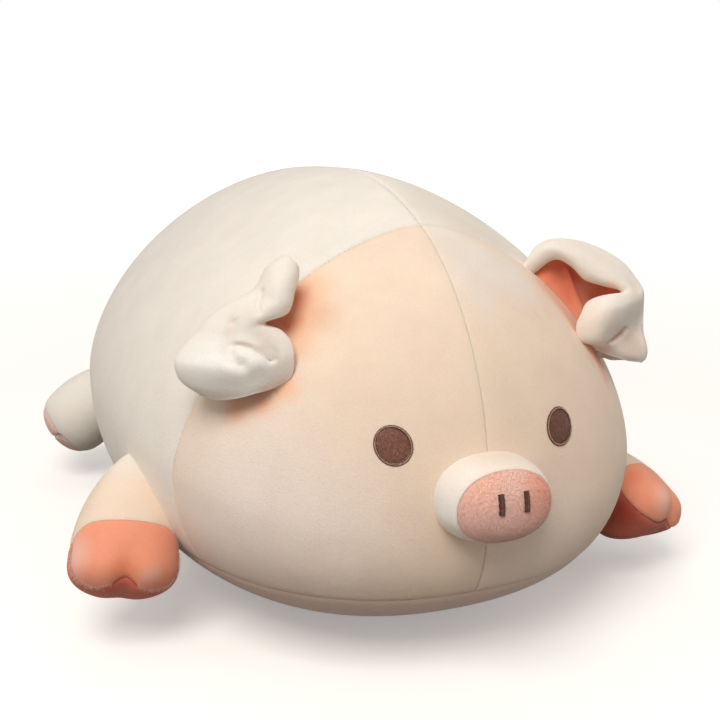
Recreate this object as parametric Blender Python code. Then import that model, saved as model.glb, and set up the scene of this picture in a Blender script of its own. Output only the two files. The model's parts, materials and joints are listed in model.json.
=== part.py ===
"""Stuffed plush pig lying on its belly.

The toy is sewn from short-pile plush panels and filled with loose stuffing. Every panel, every
wad of stuffing and every embroidered patch is an object of its own. Metres, +Z up, the snout
points along -Y and the pig's own left is +X. The origin lies in the middle of the flat face
that the belly rests on.
"""

import math

import bmesh
import bpy
from mathutils import Matrix, Vector
from mathutils.bvhtree import BVHTree

# Cloth, seams and the gaps between pieces
SKIN = 0.0020
GAP = 0.0003
SOCKET_GAP = 0.0005
OVERRUN = 0.050
WELD = 0.000001
BALL_SIDES = 24
SMOOTH_UP_TO = 40.0
SLOPE_STEP_SHARE = 0.001

# Body
BODY_LENGTH = 0.450
BODY_WIDTH = 0.322
CROWN_RISE = 0.141
WAIST_HEIGHT = 0.1125
CHIN_DROP = 0.026
RUMP_LIFT = 0.039
BELLY_SAG = 0.008
BELLY_EASE = 0.006
BELLY_CUT = 0.0005
CROWN_TAPER_SHARE = 0.074
FACE_FULLNESS = 2.48
RUMP_FULLNESS = 2.19
CROWN_FULLNESS = 1.6
UNDERSIDE_FULLNESS = 2.27
BODY_RINGS = 17
BODY_SIDES = 30

# Seams that part the body's panels
FACE_SEAM_FROM_MIDDLE = 0.134
BELLY_SEAM_HEIGHT = 0.048

# Snout
SNOUT_WIDTH = 0.059
SNOUT_HEIGHT = 0.0445
SNOUT_REACH = 0.0262
SNOUT_SEAM_REACH = 0.0150
SNOUT_CENTRE_HEIGHT = 0.1055
SNOUT_ROOT_DEPTH = 0.012
SNOUT_FULLNESS = 2.5
SNOUT_RINGS = 4
SNOUT_SIDES = 20
SNOUT_OVAL = 0.9
BAR_SIDES = 12
NOSTRIL_SPACING = 0.0125
NOSTRIL_WIDTH = 0.0034
NOSTRIL_HEIGHT = 0.0105
NOSTRIL_LIFT = 0.006

# Embroidered eyes
EYE_WIDTH = 0.0205
EYE_HEIGHT = 0.0215
EYE_RING_WIDTH = 0.0016
EYE_SPACING = 0.094
EYE_CENTRE_HEIGHT = 0.133
THREAD_PILE = 0.0010
EYE_SIDES = 20

# Legs: a ball-shaped root sits in a dimple of the body, and the hoof is the wide end
LEG_ROOT_RADIUS = 0.018
LEG_ROOT_STAND_SHARE = 0.40
LEG_RINGS = 3
LEG_SIDES = 16
FRONT_LEG_LENGTH = 0.041
FRONT_HOOF_WIDTH = 0.060
FRONT_HOOF_DEPTH = 0.052
FRONT_HOOF_ROUND = 0.020
FRONT_HOOF_SEAM = 0.027
HIND_LEG_LENGTH = 0.044
HIND_HOOF_WIDTH = 0.060
HIND_HOOF_DEPTH = 0.056
HIND_HOOF_ROUND = 0.024
HIND_HOOF_SEAM = 0.043
HOOF_CLEFT_DEPTH = 0.005
HOOF_CLEFT_WIDTH = 0.006
HOOF_FULLNESS = 2.4

# Tail
TAIL_THICKNESS = 0.010
TAIL_ROOT_RADIUS = 0.0065
TAIL_CURL_RADIUS = 0.011
TAIL_REACH = 0.030
TAIL_TURNS = 1.25
TAIL_STEPS = 14
TAIL_SIDES = 8
TAIL_ROOT_RINGS = 4
TAIL_ROOT_STAND_SHARE = 0.3
TAIL_SWING_SHARE = 0.5
TAIL_TAPER_SHARE = 0.4

# Ears: a padded leaf whose lower edge is a straight bead, sunk halfway into a groove of the head
EAR_BASE_LENGTH = 0.066
EAR_BEAD_RADIUS = 0.0062
EAR_BEAD_STAND = 0.0010
EAR_LENGTH = 0.045
EAR_THICKNESS = 0.012
EAR_RIM_THICKNESS = 0.0046
EAR_FLARE = 0.008
EAR_LEAN = 0.012
EAR_CUP_TOP = 0.014
EAR_CUP_LOW = 0.028
EAR_CUP_RISE = 0.020
EAR_OUTLINE_FULLNESS = 3.0
EAR_CUP_FULLNESS = 1.8
EAR_RIM_FULLNESS = 6
EAR_ROWS = 8
EAR_COLUMNS = 8

# Where limbs leave the body: share of the half length (-1 snout, +1 tail) and degrees round the
# body from its widest line; how far each limb droops and how far it sweeps back; and where the
# upper panel of its hoof faces (out, back, up). The two front legs do not lie alike.
FRONT_ROOT_ALONG_SHARE = {"left": -0.44, "right": -0.42}
FRONT_ROOT_TURN = {"left": -21.0, "right": -11.0}
FRONT_LEG_DROOP = {"left": 28.0, "right": 50.0}
FRONT_LEG_SWEEP = {"left": -78.0, "right": -71.0}
FRONT_LEG_FACING_SHARES = {"left": (-0.15, -0.7, 0.5), "right": (0.55, -0.60, 0.55)}
HIND_ROOT_ALONG_SHARE = {"left": 0.67, "right": 0.67}
HIND_ROOT_TURN = {"left": -25.0, "right": -25.0}
HIND_LEG_DROOP = {"left": 38.0, "right": 38.0}
HIND_LEG_SWEEP = {"left": 12.0, "right": 12.0}
HIND_LEG_FACING_SHARES = {"left": (0.3, 0.2, 0.9), "right": (0.3, 0.2, 0.9)}
EAR_TOP_ALONG_SHARE = -0.587
EAR_TOP_TURN = 55.0
EAR_LOW_ALONG_SHARE = -0.676
EAR_LOW_TURN = 31.0

# Colours and finish: red, green, blue, roughness
WHITE_PLUSH = (0.90, 0.84, 0.78, 0.95)
PEACH_PLUSH = (0.93, 0.74, 0.60, 0.95)
BELLY_PLUSH = (0.86, 0.66, 0.57, 0.95)
CORAL_PLUSH = (0.86, 0.36, 0.25, 0.95)
PINK_PLUSH = (0.83, 0.48, 0.40, 0.95)
CREAM_PLUSH = (0.94, 0.82, 0.70, 0.95)
BROWN_THREAD = (0.20, 0.09, 0.06, 0.55)
STUFFING_WHITE = (0.92, 0.92, 0.90, 1.00)


def clear_scene():
    for item in list(bpy.data.objects):
        bpy.data.objects.remove(item, do_unlink=True)


def plush(name, look):
    """Return the cloth, thread or stuffing material of this name."""
    material = bpy.data.materials.get(name)
    if material is None:
        material = bpy.data.materials.new(name)
        material.use_nodes = True
        shader = material.node_tree.nodes["Principled BSDF"]
        shader.inputs["Base Color"].default_value = (look[0], look[1], look[2], 1.0)
        shader.inputs["Roughness"].default_value = look[3]
        shader.inputs["Metallic"].default_value = 0.0
    return material


def add_object(name, mesh_maker, look=None):
    """Turn a filled bmesh into an object; without a look it is a hidden cutter."""
    mesh = bpy.data.meshes.new(name)
    mesh_maker.to_mesh(mesh)
    mesh_maker.free()
    item = bpy.data.objects.new(name, mesh)
    bpy.context.scene.collection.objects.link(item)
    if look is None:
        item.hide_render = True
        item.display_type = "WIRE"
        return item
    mesh.materials.append(plush(look[0], look[1]))
    mesh.shade_smooth()
    mesh.set_sharp_from_angle(angle=math.radians(SMOOTH_UP_TO))
    return item


def boolean(item, cutter, operation):
    step = item.modifiers.new(operation.lower() + "_" + cutter.name, "BOOLEAN")
    step.operation = operation
    step.solver = "EXACT"
    step.object = cutter


def power(value, exponent):
    return math.copysign(abs(value) ** exponent, value)


def grid_faces(maker, rows, around, flip=False):
    """Skin a grid of vertices with triangles; a closed grid joins its last column to its first."""
    columns = len(rows[0])
    last = columns if around else columns - 1
    for low, high in zip(rows, rows[1:]):
        for i in range(last):
            j = (i + 1) % columns
            for corners in ([low[i], low[j], high[j]], [low[i], high[j], high[i]]):
                maker.faces.new(corners[::-1] if flip else corners)


def closed(maker):
    """Weld the poles of a form and turn its faces outward."""
    bmesh.ops.remove_doubles(maker, verts=maker.verts, dist=WELD)
    loose = [edge for edge in maker.edges if not edge.link_faces]
    bmesh.ops.delete(maker, geom=loose, context="EDGES")
    bmesh.ops.recalc_face_normals(maker, faces=maker.faces)
    return maker


def solid_from_rows(points):
    """Closed form from rings of points; the first and last ring shrink to a pole."""
    maker = bmesh.new()
    rows = [[maker.verts.new(point) for point in row] for row in points]
    grid_faces(maker, rows, True)
    return closed(maker)


def cloth_from_rows(outer, inner, around):
    """Closed piece of cloth between an outer and an inner grid of points."""
    maker = bmesh.new()
    outside = [[maker.verts.new(point) for point in row] for row in outer]
    inside = [[maker.verts.new(point) for point in row] for row in inner]
    grid_faces(maker, outside, around)
    grid_faces(maker, inside, around, flip=True)
    for end in (0, -1):
        grid_faces(maker, [outside[end], inside[end]], around)
    if not around:
        for edge in (0, -1):
            grid_faces(maker, [[row[edge] for row in outside], [row[edge] for row in inside]], False)
    return closed(maker)


def capped(rings):
    """Add to each open end of a stack of rings a pole in its middle."""
    first = sum(rings[0], Vector()) / len(rings[0])
    last = sum(rings[-1], Vector()) / len(rings[-1])
    return [[first] * len(rings[0])] + rings + [[last] * len(rings[-1])]


def moved_in(maker, depth):
    """Move a closed form inward by depth along its vertex normals."""
    maker.normal_update()
    shifts = [(vertex, vertex.normal * (depth * vertex.calc_shell_factor())) for vertex in maker.verts]
    for vertex, shift in shifts:
        vertex.co -= shift
    return maker


def hollow(make_form):
    """Cloth-thick shell: the outer form with the same form, one cloth further in, turned round."""
    outer = make_form(0)
    inner = moved_in(make_form(0), SKIN)
    for face in inner.faces:
        face.normal_flip()
    mesh = bpy.data.meshes.new("inner")
    inner.to_mesh(mesh)
    inner.free()
    outer.from_mesh(mesh)
    bpy.data.meshes.remove(mesh)
    return outer


def settled(height):
    """Height of a point once the belly has spread on what it lies on."""
    spread = (height + math.hypot(height, BELLY_EASE)) / 2
    lowest = (-BELLY_SAG + math.hypot(BELLY_SAG, BELLY_EASE)) / 2
    return spread - lowest - BELLY_CUT


def body_point(along, turn):
    """Point on the body: along runs -1 to 1 from snout to tail, turn is the angle round it."""
    front, rear = max(-along, 0), max(along, 0)
    fullness = FACE_FULLNESS if along < 0 else RUMP_FULLNESS
    swell = max(1 - abs(along) ** fullness, 0) ** (1 / fullness)
    waist = WAIST_HEIGHT - CHIN_DROP * front**2 + RUMP_LIFT * rear**2
    out, up = math.cos(turn), math.sin(turn)
    roundness = 2 / (CROWN_FULLNESS if up >= 0 else UNDERSIDE_FULLNESS)
    reach = CROWN_RISE * (1 - CROWN_TAPER_SHARE * along) if up >= 0 else waist + BELLY_SAG
    x = BODY_WIDTH / 2 * swell * power(out, roundness)
    z = waist + reach * swell * power(up, roundness)
    return Vector((x, BODY_LENGTH / 2 * along, settled(z)))


def body_normal(along, turn):
    step = SLOPE_STEP_SHARE
    lengthwise = body_point(along + step, turn) - body_point(along - step, turn)
    around = body_point(along, turn + step) - body_point(along, turn - step)
    return lengthwise.cross(around).normalized()


def body_form(depth):
    """The whole body, moved in by depth."""
    rows = []
    for ring in range(BODY_RINGS + 2):
        along = -math.cos(math.pi * ring / (BODY_RINGS + 1))
        rows.append([body_point(along, 2 * math.pi * side / BODY_SIDES) for side in range(BODY_SIDES)])
    return moved_in(solid_from_rows(rows), depth)


def box_between(name, low, high):
    """Hidden box that spans two corners."""
    maker = bmesh.new()
    bmesh.ops.create_cube(maker, size=1)
    for vertex in maker.verts:
        vertex.co = Vector([low[i] if vertex.co[i] < 0 else high[i] for i in range(3)])
    return add_object(name, maker)


def ball(name, frame, radius):
    """Hidden ball whose flats stay outside the radius."""
    maker = bmesh.new()
    reach = radius / math.cos(math.pi / BALL_SIDES) ** 2
    bmesh.ops.create_uvsphere(maker, u_segments=BALL_SIDES, v_segments=BALL_SIDES // 2, radius=reach)
    item = add_object(name, maker)
    item.parent = frame
    return item


def joint_frame(name, place, x_axis, y_axis, z_axis):
    """Empty on a joint's axis that carries the limb's pieces."""
    frame = bpy.data.objects.new(name, None)
    bpy.context.scene.collection.objects.link(frame)
    turn = Matrix((x_axis, y_axis, z_axis)).transposed().to_4x4()
    frame.matrix_world = Matrix.Translation(place) @ turn
    return frame


def build_body(seats):
    """Stuffing, four upper panels and the belly panel, less the seats of the limbs.

    Each seat is a hidden form with the names of the pieces that give way to it.
    """
    half_width = BODY_WIDTH / 2 + OVERRUN
    half_length = BODY_LENGTH / 2 + OVERRUN
    top = WAIST_HEIGHT + CROWN_RISE + OVERRUN
    seam_y = -FACE_SEAM_FROM_MIDDLE
    half_gap = GAP / 2
    floor = box_between("resting_cut", (-half_width, -half_length, -OVERRUN), (half_width, half_length, 0))
    stuffing = add_object("body_stuffing", body_form(SKIN + GAP), ("stuffing", STUFFING_WHITE))
    made = {"body_stuffing": stuffing}
    for part, look, y_low, y_high in (
        ("face", ("peach_plush", PEACH_PLUSH), -half_length, seam_y - half_gap),
        ("back", ("white_plush", WHITE_PLUSH), seam_y + half_gap, half_length),
    ):
        for side, sign in (("left", 1), ("right", -1)):
            ends = sorted((sign * half_gap, sign * half_width))
            name = part + "_panel_" + side
            panel = add_object(name, hollow(body_form), look)
            low = (ends[0], y_low, BELLY_SEAM_HEIGHT + half_gap)
            boolean(panel, box_between(name + "_cut", low, (ends[1], y_high, top)), "INTERSECT")
            made[name] = panel
    belly = add_object("belly_panel", hollow(body_form), ("belly_plush", BELLY_PLUSH))
    low = (-half_width, -half_length, -OVERRUN)
    high = (half_width, half_length, BELLY_SEAM_HEIGHT - half_gap)
    boolean(belly, box_between("belly_cut", low, high), "INTERSECT")
    boolean(belly, floor, "DIFFERENCE")
    made["belly_panel"] = belly
    for seat, names in seats:
        for name in names:
            boolean(made[name], seat, "DIFFERENCE")


def snout_ring(reach, depth):
    """Oval ring of the snout, reach in front of the body's tip and depth under its surface."""
    share = min(max(reach / (SNOUT_REACH - depth), 0), 1)
    swell = (1 - share**SNOUT_FULLNESS) ** (1 / SNOUT_FULLNESS)
    ring = []
    for i in range(SNOUT_SIDES):
        turn = 2 * math.pi * i / SNOUT_SIDES
        x = (SNOUT_WIDTH / 2 - depth) * swell * power(math.cos(turn), SNOUT_OVAL)
        z = (SNOUT_HEIGHT / 2 - depth) * swell * power(math.sin(turn), SNOUT_OVAL)
        ring.append(Vector((x, -BODY_LENGTH / 2 - reach, SNOUT_CENTRE_HEIGHT + z)))
    return ring


def snout_rings(start, end, depth):
    shares = [math.sin(math.pi / 2 * i / SNOUT_RINGS) for i in range(SNOUT_RINGS + 1)]
    return [snout_ring(start + (end - start) * share, depth) for share in shares]


def build_snout(face_clearance):
    """Cream band, pink front, filling and the two nostril bars."""
    before_seam = SNOUT_SEAM_REACH - GAP / 2
    past_seam = SNOUT_SEAM_REACH + GAP / 2
    root = -SNOUT_ROOT_DEPTH
    cream = ("cream_plush", CREAM_PLUSH)
    rows = [snout_rings(root, before_seam, depth) for depth in (0, SKIN)]
    band = add_object("snout_band", cloth_from_rows(rows[0], rows[1], True), cream)
    rows = [snout_rings(past_seam, SNOUT_REACH - depth, depth) for depth in (0, SKIN)]
    add_object("snout_front", cloth_from_rows(rows[0], rows[1], True), ("pink_plush", PINK_PLUSH))
    depth = SKIN + GAP
    rings = capped(snout_rings(root, SNOUT_REACH - depth, depth))
    filling = add_object("snout_stuffing", solid_from_rows(rings), ("stuffing", STUFFING_WHITE))
    boolean(band, face_clearance, "DIFFERENCE")
    boolean(filling, face_clearance, "DIFFERENCE")
    rings = capped(snout_rings(past_seam, SNOUT_REACH + GAP, -GAP))
    front = add_object("snout_clearance", solid_from_rows(rings))
    for side, sign in (("left", 1), ("right", -1)):
        boolean(nostril_bar("nostril_" + side, sign * NOSTRIL_SPACING / 2), front, "DIFFERENCE")


def upright_oval(width, height, turns, straight):
    """Points of an oval in the XZ plane whose two halves lie straight apart."""
    points = []
    for i in range(turns):
        turn = 2 * math.pi * (i + 0.5) / turns
        shift = math.copysign(straight / 2, math.sin(turn))
        points.append((width / 2 * math.cos(turn), height / 2 * math.sin(turn) + shift))
    return points


def nostril_bar(name, offset):
    """Satin-stitched upright bar that stands proud of the snout's front."""
    outline = upright_oval(NOSTRIL_WIDTH, NOSTRIL_WIDTH, BAR_SIDES, NOSTRIL_HEIGHT - NOSTRIL_WIDTH)
    height = SNOUT_CENTRE_HEIGHT + NOSTRIL_LIFT
    rings = []
    for reach in (SNOUT_REACH - NOSTRIL_WIDTH, SNOUT_REACH + THREAD_PILE):
        y = -BODY_LENGTH / 2 - reach
        rings.append([Vector((offset + x, y, height + z)) for x, z in outline])
    return add_object(name, solid_from_rows(capped(rings)), ("brown_thread", BROWN_THREAD))


def eye_walls(inset):
    """Rings at the front and the back of an eye-shaped block, inset from the eye's edge."""
    outline = upright_oval(EYE_WIDTH - 2 * inset, EYE_HEIGHT - 2 * inset, EYE_SIDES, 0)
    deep = EYE_WIDTH / 4
    return [[Vector((x, y, z)) for x, z in outline] for y in (deep, -deep)]


def build_eyes(face_clearance):
    """Each eye is a filled disc and a satin ring round it, embroidered on the face."""
    top = add_object("thread_top", body_form(-GAP - THREAD_PILE))
    skin = BVHTree.FromBMesh(body_form(0))
    thread = ("brown_thread", BROWN_THREAD)
    for side, sign in (("left", 1), ("right", -1)):
        start = Vector((sign * EYE_SPACING / 2, -BODY_LENGTH, EYE_CENTRE_HEIGHT))
        place, normal = skin.ray_cast(start, Vector((0, 1, 0)))[:2]
        across = normal.cross(Vector((0, 0, 1))).normalized()
        frame = joint_frame("eye_place_" + side, place, across, -normal, across.cross(-normal))
        inner = eye_walls(EYE_RING_WIDTH)
        fill = add_object("eye_fill_" + side, solid_from_rows(capped(inner)), thread)
        outer, hole = eye_walls(0), eye_walls(EYE_RING_WIDTH - GAP)
        ring = add_object("eye_ring_" + side, cloth_from_rows(outer, hole, True), thread)
        for piece in (fill, ring):
            piece.parent = frame
            boolean(piece, top, "INTERSECT")
            boolean(piece, face_clearance, "DIFFERENCE")


def leg_ring(leg, stage, depth):
    """Ring of a leg: stage 0 to 1 is the root ball, 1 to 2 the shaft, 2 to 3 the hoof's end."""
    root = LEG_ROOT_RADIUS - depth
    half_x = leg["width"] / 2 - depth
    half_y = leg["thickness"] / 2 - depth
    if stage <= 1:
        angle = math.pi / 2 * stage
        z, swell_x, swell_y = -root * math.cos(angle), root * math.sin(angle), root * math.sin(angle)
    elif stage <= 2:
        blend = math.sin(math.pi / 2 * (stage - 1))
        z = leg["length"] * (stage - 1)
        swell_x, swell_y = root + (half_x - root) * blend, root + (half_y - root) * blend
    else:
        angle = math.pi / 2 * (stage - 2)
        swell = power(max(math.cos(angle), 0), 2 / HOOF_FULLNESS) if stage < 3 else 0
        z = leg["length"] + (leg["rounding"] - depth) * power(math.sin(angle), 2 / HOOF_FULLNESS)
        swell_x, swell_y = half_x * swell, half_y * swell
    ring = []
    for i in range(LEG_SIDES):
        turn = 2 * math.pi * i / LEG_SIDES
        x, y = swell_x * math.cos(turn), swell_y * math.sin(turn)
        cleft = HOOF_CLEFT_DEPTH * max(stage - 2, 0) * math.exp(-((x / HOOF_CLEFT_WIDTH) ** 2))
        ring.append(Vector((x, y, z - cleft)))
    return ring


def leg_rings(leg, start, end, steps, depth):
    stages = [start + (end - start) * i / steps for i in range(steps + 1)]
    return [leg_ring(leg, stage, depth) for stage in stages]


def whole_leg(leg, depth):
    rings = leg_rings(leg, 0, 1, LEG_RINGS, depth)
    rings += leg_rings(leg, 1, 2, LEG_RINGS, depth)[1:]
    rings += leg_rings(leg, 2, 3, LEG_RINGS, depth)[1:]
    return solid_from_rows(rings)


def build_leg(name, frame, leg, clearances):
    """Sleeve, the two panels of the hoof and the filling of one leg, hung on its joint's frame.

    The cloth is the outer form less the hollow. Both give way where the body swells into them,
    the hollow by one cloth more, so the sleeve stays shut on the side that lies on the body.
    """
    seam = 1 + leg["seam"] / leg["length"]
    slip = GAP / 2 / leg["length"]
    hollow_form = add_object(name + "_hollow", whole_leg(leg, SKIN))
    rings = leg_rings(leg, 0, 1, LEG_RINGS, 0) + leg_rings(leg, 1, seam - slip, 2, 0)[1:]
    sleeve = add_object(name + "_sleeve", solid_from_rows(capped(rings)), leg["sleeve"])
    filling = add_object(name + "_stuffing", whole_leg(leg, SKIN + GAP), ("stuffing", STUFFING_WHITE))
    pieces = [sleeve]
    half = leg["width"] + leg["thickness"]
    low, high = leg["seam"] - OVERRUN, leg["length"] + leg["rounding"] + OVERRUN
    for part, near, far in (("_hoof_top", GAP / 2, half), ("_hoof_sole", -half, -GAP / 2)):
        rings = leg_rings(leg, seam + slip, 2, 1, 0) + leg_rings(leg, 2, 3, LEG_RINGS, 0)[1:]
        panel = add_object(name + part, solid_from_rows(capped(rings)), leg["hoof"])
        side = box_between(name + part + "_cut", (-half, near, low), (half, far, high))
        side.parent = frame
        boolean(panel, side, "INTERSECT")
        pieces.append(panel)
    for item, clearance in zip((hollow_form, filling), clearances[1:]):
        item.parent = frame
        boolean(item, clearance, "DIFFERENCE")
    for piece in pieces:
        piece.parent = frame
        boolean(piece, clearances[0], "DIFFERENCE")
        boolean(piece, hollow_form, "DIFFERENCE")


def leg_frame(name, side, root):
    """Frame of a leg: origin in the root ball, Z down the leg, Y out of its upper panel."""
    sign = 1 if side == "left" else -1
    along, turn = root["along"][side], math.radians(root["turn"][side])
    droop, back = math.radians(root["droop"][side]), math.radians(root["sweep"][side])
    normal = body_normal(along, turn)
    place = body_point(along, turn) + normal * (LEG_ROOT_RADIUS * LEG_ROOT_STAND_SHARE)
    level = Vector((math.cos(back), math.sin(back), 0))
    z_axis = level * math.cos(droop) - Vector((0, 0, math.sin(droop)))
    y_axis = Vector(root["facing"][side])
    y_axis = (y_axis - z_axis * y_axis.dot(z_axis)).normalized()
    place, y_axis, z_axis = [Vector((sign * v.x, v.y, v.z)) for v in (place, y_axis, z_axis)]
    return joint_frame(name + "_joint", place, y_axis.cross(z_axis), y_axis, z_axis)


def ear_middle(across, up):
    """Middle surface of an ear: across -1 (crown end) to 1 (cheek end), up 0 to 1."""
    flare = EAR_FLARE * math.sin(math.pi / 2 * min(EAR_LENGTH * up / EAR_CUP_RISE, 1))
    shoulder = (1 - up**EAR_OUTLINE_FULLNESS) ** (1 / EAR_OUTLINE_FULLNESS)
    cup = EAR_CUP_TOP if across < 0 else EAR_CUP_LOW
    rise = math.sin(math.pi / 2 * min(EAR_LENGTH * up / EAR_CUP_RISE, 1)) ** 2
    x = across * (EAR_BASE_LENGTH / 2 + flare) * shoulder + EAR_LEAN * up
    return Vector((x, cup * abs(across * shoulder) ** EAR_CUP_FULLNESS * rise, EAR_LENGTH * up))


def ear_point(across, up, outward, depth):
    """Point of an ear's surface: outward -1 is the back, +1 the lining, depth under the cloth."""
    rim = (1 - abs(across) ** EAR_RIM_FULLNESS) * (1 - max(up, 0) ** EAR_RIM_FULLNESS)
    half = (EAR_RIM_THICKNESS + (EAR_THICKNESS - EAR_RIM_THICKNESS) * math.sqrt(max(rim, 0))) / 2
    half = max(half - depth, GAP / 2)
    if up < 0:
        angle = math.pi / 2 * (1 + up)
        y = outward * max(half * math.sin(angle), GAP / 2)
        return Vector((across * EAR_BASE_LENGTH / 2, y, (depth - EAR_BEAD_RADIUS) * math.cos(angle)))
    step = 1 / EAR_ROWS / EAR_COLUMNS
    middle = ear_middle(across, up)
    along = ear_middle(across + step, up) - ear_middle(across - step, up)
    upward = middle - ear_middle(across, max(up - step, 0)) if up > 0 else Vector((0, 0, 1))
    normal = upward.cross(along).normalized()
    return middle + normal * (outward * half)


def ear_grid(side, outward, depth):
    """Grid of points over one face of an ear, from its bead to its rim."""
    hand = -1 if side == "left" else 1
    edge_share = 1 - GAP / EAR_LENGTH
    ups = [-1, -0.5, 0]
    ups += [edge_share * math.sin(math.pi / 2 * i / EAR_ROWS) for i in range(1, EAR_ROWS + 1)]
    acrosses = [-edge_share * math.cos(math.pi * i / EAR_COLUMNS) for i in range(EAR_COLUMNS + 1)]
    rows = [[ear_point(across, up, outward, depth) for across in acrosses] for up in ups]
    return [[Vector((hand * point.x, point.y, point.z)) for point in row] for row in rows]


def build_ear(side, frame):
    """Back, lining and wadding of one ear; the wadding stops one grid step short of the rim."""
    pieces = []
    for part, outward, look in (("back", -1, ("cream_plush", CREAM_PLUSH)),
                                ("lining", 1, ("coral_plush", CORAL_PLUSH))):
        cloth = cloth_from_rows(ear_grid(side, outward, 0), ear_grid(side, outward, SKIN), False)
        pieces.append(add_object("ear_" + part + "_" + side, cloth, look))
    faces = [[row[1:-1] for row in ear_grid(side, outward, SKIN + GAP)[:-1]] for outward in (-1, 1)]
    wadding = cloth_from_rows(faces[0], faces[1], False)
    pieces.append(add_object("ear_wadding_" + side, wadding, ("stuffing", STUFFING_WHITE)))
    for piece in pieces:
        piece.parent = frame


def ear_frame(side):
    """Frame of an ear: X along its base, Y facing forward, Z out of the head."""
    sign = 1 if side == "left" else -1
    top = body_point(EAR_TOP_ALONG_SHARE, math.radians(EAR_TOP_TURN))
    low = body_point(EAR_LOW_ALONG_SHARE, math.radians(EAR_LOW_TURN))
    middle_share = (EAR_TOP_ALONG_SHARE + EAR_LOW_ALONG_SHARE) / 2
    middle_turn = math.radians((EAR_TOP_TURN + EAR_LOW_TURN) / 2)
    base = (low - top).normalized()
    normal = body_normal(middle_share, middle_turn)
    normal = (normal - base * normal.dot(base)).normalized()
    place = body_point(middle_share, middle_turn) + normal * EAR_BEAD_STAND
    forward = base.cross(normal)
    sides = [Vector((sign * v.x, v.y, v.z)) for v in (place, base, forward, normal)]
    return joint_frame("ear_" + side + "_joint", sides[0], -sign * sides[1], sides[2], sides[3])


def ear_groove(side, frame):
    """Hidden rod that cuts the ear's groove into the head."""
    radius = (EAR_BEAD_RADIUS + SOCKET_GAP) / math.cos(math.pi / BALL_SIDES)
    turns = [2 * math.pi * i / BALL_SIDES for i in range(BALL_SIDES)]
    outline = [(radius * math.cos(turn), radius * math.sin(turn)) for turn in turns]
    half = EAR_BASE_LENGTH / 2 + SOCKET_GAP
    rings = [[Vector((x, y, z)) for y, z in outline] for x in (-half, half)]
    item = add_object("ear_groove_" + side, solid_from_rows(capped(rings)))
    item.parent = frame
    return item


def tail_path():
    """Centre line of the tail: out of its root ball and round in a curl."""
    path = []
    for i in range(TAIL_STEPS + 1):
        share = i / TAIL_STEPS
        angle = 2 * math.pi * TAIL_TURNS * share
        swing = TAIL_CURL_RADIUS * math.sin(math.pi / 2 * min(share / TAIL_SWING_SHARE, 1)) ** 2
        height = TAIL_ROOT_RADIUS / 2 + TAIL_REACH * share
        path.append(Vector((swing * math.sin(angle), swing * (1 - math.cos(angle)), height)))
    return path


def build_tail(frame):
    """Stuffed cord with a ball root."""
    turns = [2 * math.pi * j / TAIL_SIDES for j in range(TAIL_SIDES)]
    rings = []
    for i in range(TAIL_ROOT_RINGS):
        angle = math.pi * 2 / 3 * i / TAIL_ROOT_RINGS
        radius, z = TAIL_ROOT_RADIUS * math.sin(angle), -TAIL_ROOT_RADIUS * math.cos(angle)
        rings.append([Vector((radius * math.cos(turn), radius * math.sin(turn), z)) for turn in turns])
    path = tail_path()
    for i, point in enumerate(path):
        ahead = (path[min(i + 1, TAIL_STEPS)] - path[max(i - 1, 0)]).normalized()
        side = Vector((0, 1, 0)).cross(ahead).normalized()
        lift = ahead.cross(side)
        radius = TAIL_THICKNESS / 2 * (1 - TAIL_TAPER_SHARE * i / TAIL_STEPS)
        rings.append([point + radius * (math.cos(turn) * side + math.sin(turn) * lift) for turn in turns])
    tail = add_object("tail", solid_from_rows(capped(rings)), ("coral_plush", CORAL_PLUSH))
    tail.parent = frame


def leg_kinds():
    """Sizes, cloth and places of the front and the hind legs."""
    front = {"length": FRONT_LEG_LENGTH, "width": FRONT_HOOF_WIDTH, "thickness": FRONT_HOOF_DEPTH,
             "rounding": FRONT_HOOF_ROUND, "seam": FRONT_HOOF_SEAM,
             "sleeve": ("peach_plush", PEACH_PLUSH), "hoof": ("coral_plush", CORAL_PLUSH)}
    front_root = {"along": FRONT_ROOT_ALONG_SHARE, "turn": FRONT_ROOT_TURN, "droop": FRONT_LEG_DROOP,
                  "sweep": FRONT_LEG_SWEEP, "facing": FRONT_LEG_FACING_SHARES}
    hind = {"length": HIND_LEG_LENGTH, "width": HIND_HOOF_WIDTH, "thickness": HIND_HOOF_DEPTH,
            "rounding": HIND_HOOF_ROUND, "seam": HIND_HOOF_SEAM,
            "sleeve": ("white_plush", WHITE_PLUSH), "hoof": ("pink_plush", PINK_PLUSH)}
    hind_root = {"along": HIND_ROOT_ALONG_SHARE, "turn": HIND_ROOT_TURN, "droop": HIND_LEG_DROOP,
                 "sweep": HIND_LEG_SWEEP, "facing": HIND_LEG_FACING_SHARES}
    return {"front": (front, front_root), "hind": (hind, hind_root)}


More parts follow.
